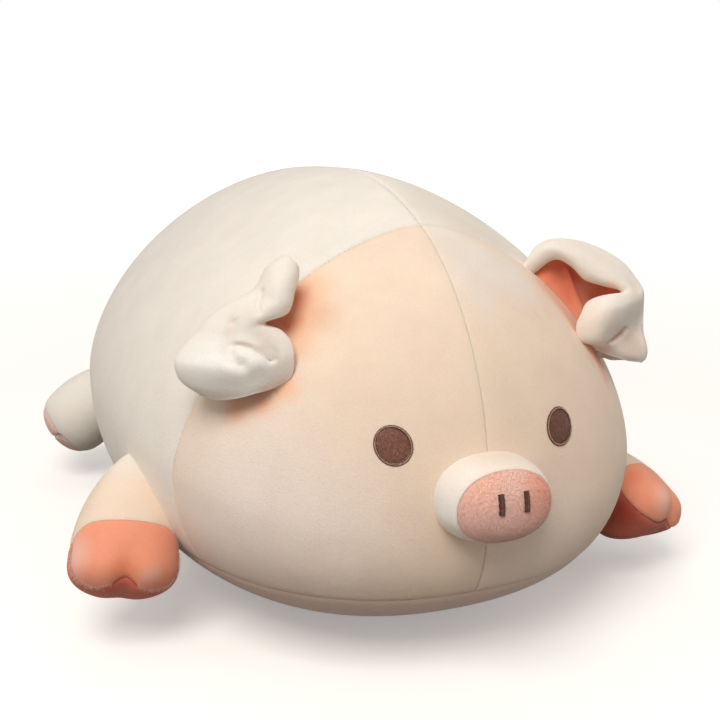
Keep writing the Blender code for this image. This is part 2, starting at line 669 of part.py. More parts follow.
def build_limbs():
    """Legs, ears and tail; returns the hidden forms that seat them, with the pieces to cut."""
    depths = (GAP, GAP + SKIN, GAP + SKIN + GAP)
    names = ("sleeve_clearance", "hollow_clearance", "filling_clearance")
    clearances = [add_object(name, body_form(-depth)) for name, depth in zip(names, depths)]
    seats = []
    for side in ("left", "right"):
        for kind, (leg, root) in leg_kinds().items():
            name = kind + "_leg_" + side
            frame = leg_frame(name, side, root)
            build_leg(name, frame, leg, clearances)
            for clearance, depth in zip(clearances, (0, SKIN, SKIN + GAP)):
                root_ball = ball(name + "_" + clearance.name, frame, LEG_ROOT_RADIUS - depth)
                boolean(clearance, root_ball, "DIFFERENCE")
            panels = ["body_stuffing", "back_panel_" + side, "belly_panel"]
            if kind == "front":
                panels.append("face_panel_" + side)
            seats.append((ball(name + "_socket", frame, LEG_ROOT_RADIUS + SOCKET_GAP), panels))
        frame = ear_frame(side)
        build_ear(side, frame)
        panels = ["body_stuffing", "face_panel_" + side, "back_panel_" + side]
        seats.append((ear_groove(side, frame), panels))
    place = body_point(1, 0) + Vector((0, TAIL_ROOT_RADIUS * TAIL_ROOT_STAND_SHARE, 0))
    frame = joint_frame("tail_joint", place, Vector((1, 0, 0)), Vector((0, 0, -1)), Vector((0, 1, 0)))
    build_tail(frame)
    socket = ball("tail_socket", frame, TAIL_ROOT_RADIUS + SOCKET_GAP)
    seats.append((socket, ["body_stuffing", "back_panel_left", "back_panel_right"]))
    return seats


def main():
    clear_scene()
    build_body(build_limbs())
    face_clearance = add_object("face_clearance", body_form(-GAP))
    build_snout(face_clearance)
    build_eyes(face_clearance)


main()
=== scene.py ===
# %% [markdown]
# # A plush pig, piece by piece
# The real toy is a round body of soft short-pile plush, sewn from a few flat panels and blown up by
# loose fibre filling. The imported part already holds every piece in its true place. This lesson
# dresses it: each soft solid gets a finer piece with its seams, folds and nap, and the plain solid is
# hidden. Everything is in metres, with the snout towards -Y and the pig's left towards +X.

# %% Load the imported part
import json
import math

import bmesh
import bpy
import numpy as np
from mathutils import Matrix, Vector
from mathutils.bvhtree import BVHTree

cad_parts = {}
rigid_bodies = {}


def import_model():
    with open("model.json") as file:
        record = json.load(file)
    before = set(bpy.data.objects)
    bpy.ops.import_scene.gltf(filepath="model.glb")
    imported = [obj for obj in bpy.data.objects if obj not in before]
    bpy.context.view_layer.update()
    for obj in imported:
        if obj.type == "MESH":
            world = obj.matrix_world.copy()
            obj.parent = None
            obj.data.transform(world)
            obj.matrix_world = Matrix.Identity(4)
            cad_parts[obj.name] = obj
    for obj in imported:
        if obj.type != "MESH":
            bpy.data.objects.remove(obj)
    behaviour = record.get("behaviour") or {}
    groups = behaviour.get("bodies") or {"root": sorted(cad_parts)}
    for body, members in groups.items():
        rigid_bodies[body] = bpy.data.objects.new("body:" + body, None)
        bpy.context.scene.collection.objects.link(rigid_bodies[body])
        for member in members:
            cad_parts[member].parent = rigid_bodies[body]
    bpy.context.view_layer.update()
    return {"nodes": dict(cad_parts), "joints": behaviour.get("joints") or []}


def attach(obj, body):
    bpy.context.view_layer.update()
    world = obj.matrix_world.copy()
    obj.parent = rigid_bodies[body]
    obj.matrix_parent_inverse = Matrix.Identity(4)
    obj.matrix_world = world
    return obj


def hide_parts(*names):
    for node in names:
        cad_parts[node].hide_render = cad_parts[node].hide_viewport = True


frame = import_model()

MM = 0.001

# %% [markdown]
# ## The camera
# A camera is a place, a direction and a lens. The pig is seen from a little above and from its right,
# so the camera is put on a ball round an aim point: azimuth and elevation say where on the ball, the
# distance its radius. A small roll tilts the picture, as a camera held by hand does.

# %% Camera
AIM = Vector((0.0192, 0, 0.1193))
AZIMUTH, ELEVATION, ROLL = (math.radians(angle) for angle in (-21.7743, 14.4035, 0.86))
DISTANCE, LENS_MM, SENSOR_MM, PICTURE = 0.7304, 52.52, 36, 720

back = Vector((math.sin(AZIMUTH) * math.cos(ELEVATION), -math.cos(AZIMUTH) * math.cos(ELEVATION),
               math.sin(ELEVATION)))
level = Vector((math.cos(AZIMUTH), math.sin(AZIMUTH), 0))
right = level * math.cos(ROLL) + back.cross(level) * math.sin(ROLL)
camera = bpy.data.objects.new("camera", bpy.data.cameras.new("camera"))
camera.data.lens = LENS_MM
turned = Matrix((right, back.cross(right), back)).transposed()
camera.matrix_world = Matrix.Translation(AIM + back * DISTANCE) @ turned.to_4x4()
scene = bpy.context.scene
scene.collection.objects.link(camera)
bpy.context.scene.camera = camera
print("camera at", [round(value, 3) for value in camera.matrix_world.translation])

# %% [markdown]
# ## Light and floor
# Soft cloth needs big lamps: a small lamp would draw hard shadows that plush never shows in a room.
# One large warm lamp stands high on the left, a weak one fills from the right, and the pale world
# lifts the shadows. The floor is white to the camera but lights the pig as plain paper would.

# %% Lamps
scene.view_settings.view_transform = "Standard"
LAMPS = {"window": ((-0.75, -1.0, 1.6), 1.0, 24, (1, 0.95, 0.89)),
         "fill": ((1.3, -0.9, 0.7), 1.2, 1.0, (1, 0.93, 0.88)),
         "top": ((-0.1, 0.6, 1.7), 1.0, 0.8, (1, 0.97, 0.93))}
for name, (place, width, power, colour) in LAMPS.items():
    data = bpy.data.lights.new(name, "AREA")
    data.size, data.energy, data.color = width, power, colour
    light = bpy.data.objects.new(name, data)
    light.location = place
    light.rotation_euler = (AIM - Vector(place)).to_track_quat("-Z", "Y").to_euler()
    scene.collection.objects.link(light)
print("lamps:", ", ".join(LAMPS))

# %% Helpers for nodes


def nodes_of(owner):
    owner.use_nodes = True
    owner.node_tree.nodes.clear()
    return owner.node_tree


def add(tree, name, kind, **values):
    """A new node under its own name, with inputs and settings by name."""
    node = tree.nodes.new(kind)
    node.name = name
    for key, value in values.items():
        if key in node.inputs and not hasattr(node, key):
            node.inputs[key].default_value = value
        else:
            setattr(node, key, value)
    return node


def wire(tree, *wires):
    """Joins sockets. "a.Out > b.In" runs from node a to node b; a number counts sockets from 0."""
    for text in wires:
        (start, out), (end, into) = (side.strip().split(".") for side in text.split(">"))
        out, into = (int(label) if label.isdigit() else label for label in (out, into))
        tree.links.new(tree.nodes[start].outputs[out], tree.nodes[end].inputs[into])


def eye_rays(tree):
    """Node eye is 1 for what is seen, straight, mirrored or through glass, and 0 for bounced light."""
    add(tree, "path", "ShaderNodeLightPath")
    add(tree, "direct", "ShaderNodeMath", operation="MAXIMUM")
    add(tree, "eye", "ShaderNodeMath", operation="MAXIMUM")
    wire(tree, "path.Is Camera Ray > direct.0", "path.Is Glossy Ray > direct.1", "direct.0 > eye.0",
         "path.Is Transmission Ray > eye.1")


# %% World
world = bpy.data.worlds.new("studio")
scene.world = world
tree = nodes_of(world)
add(tree, "room", "ShaderNodeBackground", Color=(1, 0.96, 0.92, 1), Strength=0.45)
add(tree, "white", "ShaderNodeBackground", Color=(1, 1, 1, 1), Strength=1.0)
add(tree, "choice", "ShaderNodeMixShader")
add(tree, "out", "ShaderNodeOutputWorld")
eye_rays(tree)
wire(tree, "eye.0 > choice.0", "room.0 > choice.1", "white.0 > choice.2", "choice.0 > out.Surface")
print("world:", len(tree.nodes), "nodes")

# %% Floor
FLOOR_SIZE, FLOOR_GLOW, FADE = 24.0, 0.30, (0.5, 3.0)
half = FLOOR_SIZE / 2
floor_mesh = bpy.data.meshes.new("floor")
floor_mesh.from_pydata([(-half, -half, 0), (half, -half, 0), (half, half, 0), (-half, half, 0)], [],
                       [(0, 1, 2, 3)])
floor = bpy.data.objects.new("floor", floor_mesh)
scene.collection.objects.link(floor)
paper = bpy.data.materials.new("floor_paper")
tree = nodes_of(paper)
pale = add(tree, "pale", "ShaderNodeMix", data_type="RGBA")
pale.inputs[6].default_value, pale.inputs[7].default_value = (0.22, 0.2, 0.18, 1), (0.9, 0.88, 0.86, 1)
add(tree, "shade", "ShaderNodeBsdfPrincipled", Roughness=0.9)
add(tree, "glow", "ShaderNodeEmission", Color=(1, 0.985, 0.97, 1))
add(tree, "spot", "ShaderNodeTexCoord")
add(tree, "far", "ShaderNodeVectorMath", operation="LENGTH")
add(tree, "fade", "ShaderNodeMapRange", **{"From Min": FADE[0], "From Max": FADE[1],
                                           "To Min": FLOOR_GLOW, "To Max": 1.0})
add(tree, "brightness", "ShaderNodeMath", operation="MULTIPLY")
add(tree, "lit", "ShaderNodeAddShader")
add(tree, "out", "ShaderNodeOutputMaterial")
eye_rays(tree)
wire(tree, "eye.0 > pale.Factor", "pale.2 > shade.Base Color", "eye.0 > brightness.0",
     "spot.Object > far.0", "far.Value > fade.Value", "fade.Result > brightness.1",
     "brightness.0 > glow.Strength", "shade.0 > lit.0", "glow.0 > lit.1", "lit.0 > out.Surface")
floor_mesh.materials.append(paper)
print("floor", FLOOR_SIZE, "m wide")

# %% [markdown]
# ## Plush as a material
# Short plush is a bed of millions of fibre tips. Seen from here they melt into three things: a soft
# pale rim where the cloth turns away, a faint cloudiness where the pile lies this way or that, and a
# fine tooth. The rim is the shader's sheen. Clouds and tooth come from noise in a node group, built
# once and used by every cloth, so all cloths share one scale and differ only in colour.

# %% Helper for node groups


def new_tree(kind, name, inputs, outputs):
    """An empty group of nodes. Each socket is its name, its kind and perhaps a start value."""
    tree = bpy.data.node_groups.new(name, kind)
    for way, sockets in (("INPUT", inputs), ("OUTPUT", outputs)):
        for label, form, *start in sockets:
            socket = tree.interface.new_socket(label, in_out=way, socket_type="NodeSocket" + form)
            if start:
                socket.default_value = start[0]
    add(tree, "given", "NodeGroupInput")
    add(tree, "result", "NodeGroupOutput")
    return tree


# %% The plush group
PATCH, TOOTH, STREAK, STREAK_RELIEF = 26 * MM, 0.9 * MM, 3.0 * MM, 0.6
PATTERN = [("Colour", "Color"), ("Height", "Float")]
PILE = new_tree("ShaderNodeTree", "short_pile",
                [("Colour", "Color", (0.8, 0.8, 0.8, 1)), ("Cloudiness", "Float", 0.06)], PATTERN)
add(PILE, "place", "ShaderNodeTexCoord")
add(PILE, "clouds", "ShaderNodeTexNoise", Scale=1 / PATCH, Detail=3.0, Roughness=0.55)
add(PILE, "streaks", "ShaderNodeTexNoise", Scale=1 / STREAK, Detail=2.0, Roughness=0.6, Distortion=0.8)
add(PILE, "tooth", "ShaderNodeTexNoise", Scale=1 / TOOTH, Detail=2.0, Roughness=0.7)
add(PILE, "level", "ShaderNodeMath", operation="SUBTRACT").inputs[1].default_value = 0.5
add(PILE, "depth", "ShaderNodeMath", operation="MULTIPLY_ADD").inputs[2].default_value = 1.0
add(PILE, "fine", "ShaderNodeMapRange", **{"From Min": 0.3, "From Max": 0.7, "To Min": 0.955,
                                           "To Max": 1.02})
add(PILE, "both", "ShaderNodeMath", operation="MULTIPLY")
add(PILE, "tinted", "ShaderNodeVectorMath", operation="SCALE")
add(PILE, "relief", "ShaderNodeMath", operation="MULTIPLY_ADD").inputs[1].default_value = STREAK_RELIEF
wire(PILE, "place.Object > clouds.Vector", "place.Object > streaks.Vector",
     "place.Object > tooth.Vector", "clouds.Fac > level.0", "level.0 > depth.0",
     "given.Cloudiness > depth.1", "tooth.Fac > fine.Value", "depth.0 > both.0", "fine.Result > both.1",
     "given.Colour > tinted.0", "both.0 > tinted.Scale", "tinted.0 > result.Colour",
     "streaks.Fac > relief.0", "tooth.Fac > relief.2", "relief.0 > result.Height")
print("plush group:", len(PILE.nodes), "nodes")

# %% Cloth colours
WHITE, PEACH, BELLY = (0.885, 0.82, 0.75), (0.90, 0.71, 0.57), (0.82, 0.63, 0.54)
CORAL, PINK, CREAM = (0.95, 0.36, 0.23), (1.0, 0.66, 0.58), (0.93, 0.83, 0.75)
CLOUDINESS, SMOOTH_CLOTH, ROUGH_CLOTH, PILE_DEPTH = 0.16, 0.35, 0.6, 0.7 * MM
PLUSH_SURFACE = {
    "Roughness": 0.92, "Sheen Weight": 0.30, "Sheen Roughness": 0.42, "Sheen Tint": (1, 0.93, 0.88, 1),
    "Specular IOR Level": 0.15, "Subsurface Weight": 0.25, "Subsurface Radius": (1, 0.55, 0.4),
    "Subsurface Scale": 5 * MM}


def bumped(tree, relief, depth, values):
    """The end of each material: the group called pattern colours and raises the shader."""
    add(tree, "bump", "ShaderNodeBump", Strength=relief, Distance=depth)
    add(tree, "shader", "ShaderNodeBsdfPrincipled", **values)
    add(tree, "out", "ShaderNodeOutputMaterial")
    wire(tree, "pattern.Colour > shader.Base Color", "pattern.Height > bump.Height",
         "bump.Normal > shader.Normal", "shader.0 > out.Surface")


def plush(name, colour, relief=SMOOTH_CLOTH):
    """A plush material. The piece's dye attribute holds a colour, the cloth's own tone or painted light and
    shade, and, as its alpha, how much of it.
    """
    material = bpy.data.materials.new(name)
    tree = nodes_of(material)
    add(tree, "pattern", "ShaderNodeGroup", node_tree=PILE, Cloudiness=CLOUDINESS)
    add(tree, "dye", "ShaderNodeAttribute", attribute_name="dye")
    add(tree, "cloth", "ShaderNodeMix", data_type="RGBA").inputs[6].default_value = (*colour, 1)
    wire(tree, "dye.Alpha > cloth.Factor", "dye.Color > cloth.7", "cloth.2 > pattern.Colour")
    bumped(tree, relief, PILE_DEPTH, PLUSH_SURFACE)
    return material


CLOTHS = {"white": WHITE, "peach": PEACH, "belly": BELLY, "cream": CREAM, "coral": CORAL}
MATERIALS = {name + "_plush": plush(name + "_plush", colour) for name, colour in CLOTHS.items()}
MATERIALS["pink_plush"] = plush("pink_plush", PINK, ROUGH_CLOTH)
print("cloths:", ", ".join(MATERIALS))

# %% [markdown]
# ## Thread as a material
# Embroidery thread is twisted from bright filaments, so it shines along its side and looks ribbed up
# close. A fine noise across the stitch stands for the twist, and a slower one paints some stitches
# lighter than others: painted sheen, where a turned thread would catch the light.

# %% The thread group
THREAD_TWIST, THREAD_DRIFT = 0.6 * MM, 1.6 * MM
YARN = new_tree("ShaderNodeTree", "twisted_thread",
                [("Colour", "Color", (0.2, 0.1, 0.06, 1)), ("Light", "Float", 0.7)], PATTERN)
add(YARN, "place", "ShaderNodeTexCoord")
add(YARN, "twist", "ShaderNodeTexNoise", Scale=1 / THREAD_TWIST, Detail=2.0, Distortion=1.5)
add(YARN, "drift", "ShaderNodeTexNoise", Scale=1 / THREAD_DRIFT, Detail=1.0)
add(YARN, "spread", "ShaderNodeMapRange", **{"From Min": 0.35, "From Max": 0.65, "To Min": 0.4,
                                             "To Max": 1.7})
# painted sheen: the slow drift lightens some stitches as if they caught the light
add(YARN, "lighter", "ShaderNodeMath", operation="MULTIPLY_ADD").inputs[2].default_value = 0.5
add(YARN, "together", "ShaderNodeMath", operation="MULTIPLY")
add(YARN, "stitched", "ShaderNodeVectorMath", operation="SCALE")
wire(YARN, "place.Object > twist.Vector", "place.Object > drift.Vector", "twist.Fac > spread.Value",
     "drift.Fac > lighter.0", "given.Light > lighter.1", "lighter.0 > together.0",
     "spread.Result > together.1", "given.Colour > stitched.0", "together.0 > stitched.Scale",
     "stitched.0 > result.Colour", "twist.Fac > result.Height")
print("thread group:", len(YARN.nodes), "nodes")

# %% Threads
THREAD_LIGHT, THREAD_RELIEF, THREAD_DEPTH = 0.9, 0.4, 0.15 * MM
THREAD_SURFACE = {"Roughness": 0.5, "Sheen Weight": 0.2, "Sheen Roughness": 0.4,
                  "Specular IOR Level": 0.4}


def thread(name, colour):
    """A satin thread material."""
    material = bpy.data.materials.new(name)
    tree = nodes_of(material)
    add(tree, "pattern", "ShaderNodeGroup", node_tree=YARN, Light=THREAD_LIGHT, Colour=(*colour, 1))
    bumped(tree, THREAD_RELIEF, THREAD_DEPTH, THREAD_SURFACE)
    return material


MATERIALS["brown_thread"] = BROWN = thread("brown_thread", (0.10, 0.032, 0.019))
LIGHT_BROWN = thread("light_brown_thread", (0.27, 0.115, 0.065))
DEEP_BROWN = thread("deep_brown_thread", (0.15, 0.055, 0.030))
# painted highlight: the crest thread is far lighter than the ring's and stands for light on the satin's crest
CREST_HIGHLIGHT = thread("thread_crest_highlight", (0.50, 0.29, 0.21))
SEAM_THREAD = thread("seam_thread", (0.72, 0.60, 0.50))
print("threads:", ", ".join(yarn.name for yarn in (BROWN, LIGHT_BROWN, DEEP_BROWN, CREST_HIGHLIGHT, SEAM_THREAD)))

# %% [markdown]
# ## Stitches and nap by Geometry Nodes
# A seam has hundreds of stitches and a snout thousands of loose fibres. Placing them by hand is
# hopeless, and a loop in Python would hide the rule. A node tree says it once: walk along a path,
# put a stitch at each step, turn it across or along. A second tree scatters fibres over a patch of
# cloth and leans each a little. Both give plain meshes.

# %% Helpers for the trees


def chance(tree, name, low, high, extra):
    """Node name gives each point a random number; extra keeps two numbers of one point apart."""
    draw = add(tree, name, "FunctionNodeRandomValue", data_type="FLOAT")
    draw.inputs[2].default_value, draw.inputs[3].default_value = low, high
    add(tree, name + "_seed", "ShaderNodeMath", operation="ADD").inputs[1].default_value = extra
    wire(tree, f"given.Seed > {name}_seed.0", f"{name}_seed.0 > {name}.Seed")


def finish_tree(tree):
    """Every tree ends in real faces that carry their material."""
    add(tree, "real", "GeometryNodeRealizeInstances")
    add(tree, "smooth", "GeometryNodeSetShadeSmooth")
    add(tree, "cloth", "GeometryNodeSetMaterial")
    wire(tree, "place.0 > real.0", "real.0 > smooth.0", "smooth.0 > cloth.0",
         "given.Material > cloth.Material", "cloth.0 > result.0")
    print(tree.name + ":", len(tree.nodes), "nodes")


# %% Stitches along a path
MESH = [("Geometry", "Geometry")]
STITCHES = new_tree("GeometryNodeTree", "stitches_along_a_path", MESH + [
    ("Spacing", "Float", 0.001), ("Stitch Length", "Float", 0.002), ("Stitch Width", "Float", 0.0004),
    ("Stitch Height", "Float", 0.0004), ("Turn", "Float", 0.0), ("Wobble", "Float", 0.1),
    ("Seed", "Int", 1), ("Material", "Material")], MESH)
add(STITCHES, "curve", "GeometryNodeMeshToCurve")
add(STITCHES, "steps", "GeometryNodeResampleCurve", mode="LENGTH")
add(STITCHES, "normal", "GeometryNodeInputNamedAttribute", data_type="FLOAT_VECTOR", Name="cloth_normal")
add(STITCHES, "along", "GeometryNodeInputTangent")
add(STITCHES, "lie", "FunctionNodeAxesToRotation", primary_axis="Z", secondary_axis="X")
chance(STITCHES, "sway", -1, 1, 0)
chance(STITCHES, "stretch", 0.9, 1.1, 7)
add(STITCHES, "wobble", "ShaderNodeMath", operation="MULTIPLY")
add(STITCHES, "turn", "ShaderNodeMath", operation="ADD")
add(STITCHES, "spin", "FunctionNodeAxisAngleToRotation", Axis=(0, 0, 1))
add(STITCHES, "turned", "FunctionNodeRotateRotation", rotation_space="LOCAL")
add(STITCHES, "bead", "GeometryNodeMeshUVSphere", Segments=8, Rings=5, Radius=0.5)
add(STITCHES, "longer", "ShaderNodeMath", operation="MULTIPLY")
add(STITCHES, "size", "ShaderNodeCombineXYZ")
add(STITCHES, "place", "GeometryNodeInstanceOnPoints")
wire(STITCHES, "given.Geometry > curve.0", "curve.0 > steps.Curve", "given.Spacing > steps.Length",
     "normal.0 > lie.Primary Axis", "along.0 > lie.Secondary Axis", "sway.1 > wobble.0",
     "given.Wobble > wobble.1", "wobble.0 > turn.0", "given.Turn > turn.1", "turn.0 > spin.Angle",
     "lie.0 > turned.Rotation", "spin.0 > turned.Rotate By", "stretch.1 > longer.0",
     "given.Stitch Length > longer.1", "longer.0 > size.X", "given.Stitch Width > size.Y",
     "given.Stitch Height > size.Z", "steps.0 > place.Points", "bead.Mesh > place.Instance",
     "turned.0 > place.Rotation", "size.0 > place.Scale")
finish_tree(STITCHES)

# %% Fibres on cloth
NAP = new_tree("GeometryNodeTree", "fibres_on_cloth", MESH + [
    ("Density", "Float", 1e6), ("Fibre Length", "Float", 0.001), ("Fibre Width", "Float", 0.0001),
    ("Lean", "Float", 0.5), ("Seed", "Int", 1), ("Material", "Material")], MESH)
add(NAP, "points", "GeometryNodeDistributePointsOnFaces", distribute_method="RANDOM")
chance(NAP, "head_x", -1, 1, 1)
chance(NAP, "head_y", -1, 1, 2)
chance(NAP, "share", 0, 1, 3)
chance(NAP, "growth", 0.5, 1.1, 4)
add(NAP, "heading", "ShaderNodeCombineXYZ")
add(NAP, "tilt", "ShaderNodeMath", operation="MULTIPLY")
add(NAP, "lean", "FunctionNodeAxisAngleToRotation")
add(NAP, "turned", "FunctionNodeRotateRotation", rotation_space="LOCAL")
add(NAP, "fibre", "GeometryNodeMeshCone", **{"Vertices": 3, "Radius Bottom": 0.5, "Radius Top": 0.08,
                                             "Depth": 1.0})
add(NAP, "tall", "ShaderNodeMath", operation="MULTIPLY")
add(NAP, "size", "ShaderNodeCombineXYZ")
add(NAP, "place", "GeometryNodeInstanceOnPoints")
wire(NAP, "given.Geometry > points.Mesh", "given.Density > points.Density", "given.Seed > points.Seed",
     "head_x.1 > heading.X", "head_y.1 > heading.Y", "heading.0 > lean.Axis", "share.1 > tilt.0",
     "given.Lean > tilt.1", "tilt.0 > lean.Angle", "points.Rotation > turned.Rotation",
     "lean.0 > turned.Rotate By", "growth.1 > tall.0", "given.Fibre Length > tall.1",
     "tall.0 > size.Z", "given.Fibre Width > size.X", "given.Fibre Width > size.Y",
     "points.Points > place.Points", "fibre.Mesh > place.Instance", "turned.0 > place.Rotation",
     "size.0 > place.Scale")
finish_tree(NAP)

# %% Grow a mesh from a tree


def grown(name, mesh, tree, values):
    """The plain mesh that a tree makes from a mesh, with the inputs set by name."""
    source = bpy.data.objects.new(name, mesh)
    scene.collection.objects.link(source)
    modifier = source.modifiers.new("make", "NODES")
    modifier.node_group = tree
    sockets = {item.name: item.identifier for item in tree.interface.items_tree if item.in_out == "INPUT"}
    for label, value in values.items():
        modifier[sockets[label]] = value
    made = bpy.data.meshes.new_from_object(source.evaluated_get(bpy.context.evaluated_depsgraph_get()))
    made.name = name
    bpy.data.objects.remove(source)
    bpy.data.meshes.remove(mesh)
    return made


def path_mesh(paths):
    """Edges along each path of (point, cloth normal) pairs."""
    points = [pair for path in paths for pair in path]
    edges, start = [], 0
    for path in paths:
        edges += [(k, k + 1) for k in range(start, start + len(path) - 1)]
        start += len(path)
    mesh = bpy.data.meshes.new("path")
    mesh.from_pydata([point for point, _ in points], edges, [])
    normals = mesh.attributes.new("cloth_normal", "FLOAT_VECTOR", "POINT")
    for item, (_, normal) in zip(normals.data, points):
        item.vector = normal
    return mesh


# %% [markdown]
# ## From mesh to piece
# The toy bends at its sewn joints, so each new piece says which body it rides on, which solids it
# replaces and which cloth it is. A single surface gets its cloth's thickness from Solidify, inwards,
# so the outside stays where it was drawn.

# %% Finish a piece


def finish(name, made, slot, body_name, replaced=(), thickness=None):
    """Puts a bmesh or a mesh into the scene as a piece that rides on a body."""
    mesh = made
    if isinstance(made, bmesh.types.BMesh):
        mesh = bpy.data.meshes.new(name)
        made.to_mesh(mesh)
        made.free()
        mesh.materials.append(MATERIALS[slot])
        mesh.shade_smooth()
    piece = bpy.data.objects.new(name, mesh)
    scene.collection.objects.link(piece)
    if thickness:
        cloth = piece.modifiers.new("cloth", "SOLIDIFY")
        cloth.thickness, cloth.offset = thickness, -1
    if replaced:
        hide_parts(*replaced)
    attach(piece, body_name)
    return piece


# %% Sew and fuzz
STITCH_FACES, FIBRE_FACES = 40, 5


def sew(name, paths, sizes, material, seed, replaced=(), turn=math.pi / 2, wobble=0.12,
        slot="brown_thread"):
    """Stitches along paths, on the torso. The sizes are spacing, length, width and height."""
    values = dict(zip(("Spacing", "Stitch Length", "Stitch Width", "Stitch Height"), sizes))
    made = grown(name, path_mesh(paths), STITCHES, {**values, "Turn": turn, "Wobble": wobble,
                                                    "Seed": seed, "Material": material})
    finish(name, made, slot, "torso", replaced)
    print(name + ":", len(made.polygons) // STITCH_FACES, "stitches")


def fuzz(name, made, slot, body_name, values, tint, low_tint=None):
    """A coat of fibres on a bmesh, as its own piece, coloured from low_tint at its lowest fibre to tint at
    its highest: painted shade below and painted light above, where the two differ.
    """
    mesh = bpy.data.meshes.new(name)
    made.to_mesh(mesh)
    made.free()
    coat = grown(name, mesh, NAP, {**values, "Material": MATERIALS[slot]})
    layer = coat.attributes.new("dye", "FLOAT_COLOR", "POINT")
    places = np.empty(3 * len(coat.vertices))
    coat.vertices.foreach_get("co", places)
    heights = places[2::3]
    share = ((heights - heights.min()) / np.ptp(heights))[:, None]
    layer.data.foreach_set("color", (np.array(low_tint or tint) * (1 - share)
                                     + np.array(tint) * share).ravel())
    finish(name, coat, slot, body_name)
    print(name + ":", len(coat.polygons) // FIBRE_FACES, "fibres")


# %% [markdown]
# ## The body
# A stuffed body is not a ball: flat panels curve only as far as their cloth lets them, so the belly
# settles flat where it rests and the face is fuller than the rump. A superellipse has one number that
# makes a curve boxier or more pointed. The same rule shapes the hidden solid, so the fine skin here
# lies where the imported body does.

# %% Body rule
FACE_FULLNESS, RUMP_FULLNESS, CROWN_FULLNESS, UNDERSIDE_FULLNESS = 2.48, 2.19, 1.6, 2.27
BODY_LENGTH, BODY_WIDTH = 450 * MM, 322 * MM
CROWN_RISE, WAIST_HEIGHT, CHIN_DROP, RUMP_LIFT = 141 * MM, 112.5 * MM, 26 * MM, 39 * MM
BELLY_SAG, BELLY_EASE, BELLY_CUT, CROWN_TAPER = 8 * MM, 6 * MM, 0.5 * MM, 0.074


def power(value, exponent):
    return math.copysign(abs(value) ** exponent, value)


def smooth_step(value, low, high):
    share = min(max((value - low) / (high - low), 0), 1)
    return share * share * (3 - 2 * share)


def settled(height):
    """Height of the cloth after the belly has sunk onto what it rests on."""
    spread = (height + math.hypot(height, BELLY_EASE)) / 2
    lowest = (-BELLY_SAG + math.hypot(BELLY_SAG, BELLY_EASE)) / 2
    return max(spread - lowest - BELLY_CUT, 0)


def body_point(along, turn):
    """Point of the skin: along -1 snout to 1 rump, turn round the body from the pig's left."""
    front, rear = max(-along, 0), max(along, 0)
    fullness = FACE_FULLNESS if along < 0 else RUMP_FULLNESS
    swell = max(1 - abs(along) ** fullness, 0) ** (1 / fullness)
    waist = WAIST_HEIGHT - CHIN_DROP * front**2 + RUMP_LIFT * rear**2
    out, up = math.cos(turn), math.sin(turn)
    roundness = 2 / (CROWN_FULLNESS if up >= 0 else UNDERSIDE_FULLNESS)
    reach = CROWN_RISE * (1 - CROWN_TAPER * along) if up >= 0 else waist + BELLY_SAG
    return Vector((BODY_WIDTH / 2 * swell * power(out, roundness), BODY_LENGTH / 2 * along,
                   settled(waist + reach * swell * power(up, roundness))))


print("body:", round(BODY_WIDTH / MM), "mm wide,", round(body_point(0, math.pi / 2).z / MM), "mm high")

# %% Body skin
BODY_ROWS, BODY_TURNS = 110, 168


def mesh_from_rows(rows):
    """A bmesh of rings of points; a ring of one point closes an end."""
    made = bmesh.new()
    rings = [[made.verts.new(point) for point in row] for row in rows]
    for low, high in zip(rings, rings[1:]):
        count = max(len(low), len(high))
        for i in range(count):
            j = (i + 1) % count
            corners = [low[i % len(low)], low[j % len(low)], high[j % len(high)], high[i % len(high)]]
            corners = list(dict.fromkeys(corners))
            if len(corners) > 2:
                made.faces.new(corners)
    bmesh.ops.recalc_face_normals(made, faces=made.faces)
    return made


alongs = [-math.cos(math.pi * i / BODY_ROWS) for i in range(1, BODY_ROWS)]
rows = [[body_point(-1, 0)]]
rows += [[body_point(along, 2 * math.pi * i / BODY_TURNS) for i in range(BODY_TURNS)] for along in alongs]
rows += [[body_point(1, 0)]]
body = mesh_from_rows(rows)
print("body skin:", len(body.verts), "points")

# %% [markdown]
# ## Sewn edges
# Where two panels meet, both edges dive into the seam and the filling rounds them off. Cutting the
# skin along each seam, with a few more cuts beside it, gives points to bend. They then sink by a
# quarter circle, so each panel gets the soft lip that a real seam has. On the face above the snout
# the pile hides the middle seam, so it is shallow there.

# %% Cut the seams
FACE_SEAM, BELLY_SEAM = -134 * MM, 48 * MM
SEAM_DEPTH, SEAM_WIDTH = 1.5 * MM, 4.5 * MM
HIDDEN_SEAM, HIDDEN_WIDE, SNOUT_TOP, SEAM_FADE = 0.2, 10 * MM, 90 * MM, 12 * MM
BESIDE = [0, 0.4 * MM, 0.9 * MM, 1.7 * MM, 2.9 * MM, 4.5 * MM]
CUTS = sorted({sign * step for step in BESIDE for sign in (-1, 1)})


def cut(made, places, across):
    """Cuts a mesh by a plane through each place, all square to one direction."""
    for place in places:
        bmesh.ops.bisect_plane(made, geom=made.verts[:] + made.edges[:] + made.faces[:], dist=1e-7,
                               plane_co=place, plane_no=across)


EAST, NORTH, UP = Vector((1, 0, 0)), Vector((0, 1, 0)), Vector((0, 0, 1))
for middle, across in ((Vector((0, 0, 0)), EAST), (Vector((0, FACE_SEAM, 0)), NORTH),
                       (Vector((0, 0, BELLY_SEAM)), UP)):
    cut(body, [middle + across * offset for offset in CUTS], across)
body.normal_update()
skin = BVHTree.FromBMesh(body)
print("after the cuts:", len(body.verts), "points")

# %% Sink the seams


def seam_depth(point):
    """The pile hides the middle seam on the face above the snout."""
    if abs(point.x) < HIDDEN_WIDE and point.z > SNOUT_TOP:
        seen_share = smooth_step(point.y, FACE_SEAM - SEAM_FADE, FACE_SEAM)
        return SEAM_DEPTH * (HIDDEN_SEAM + (1 - HIDDEN_SEAM) * seen_share)
    return SEAM_DEPTH


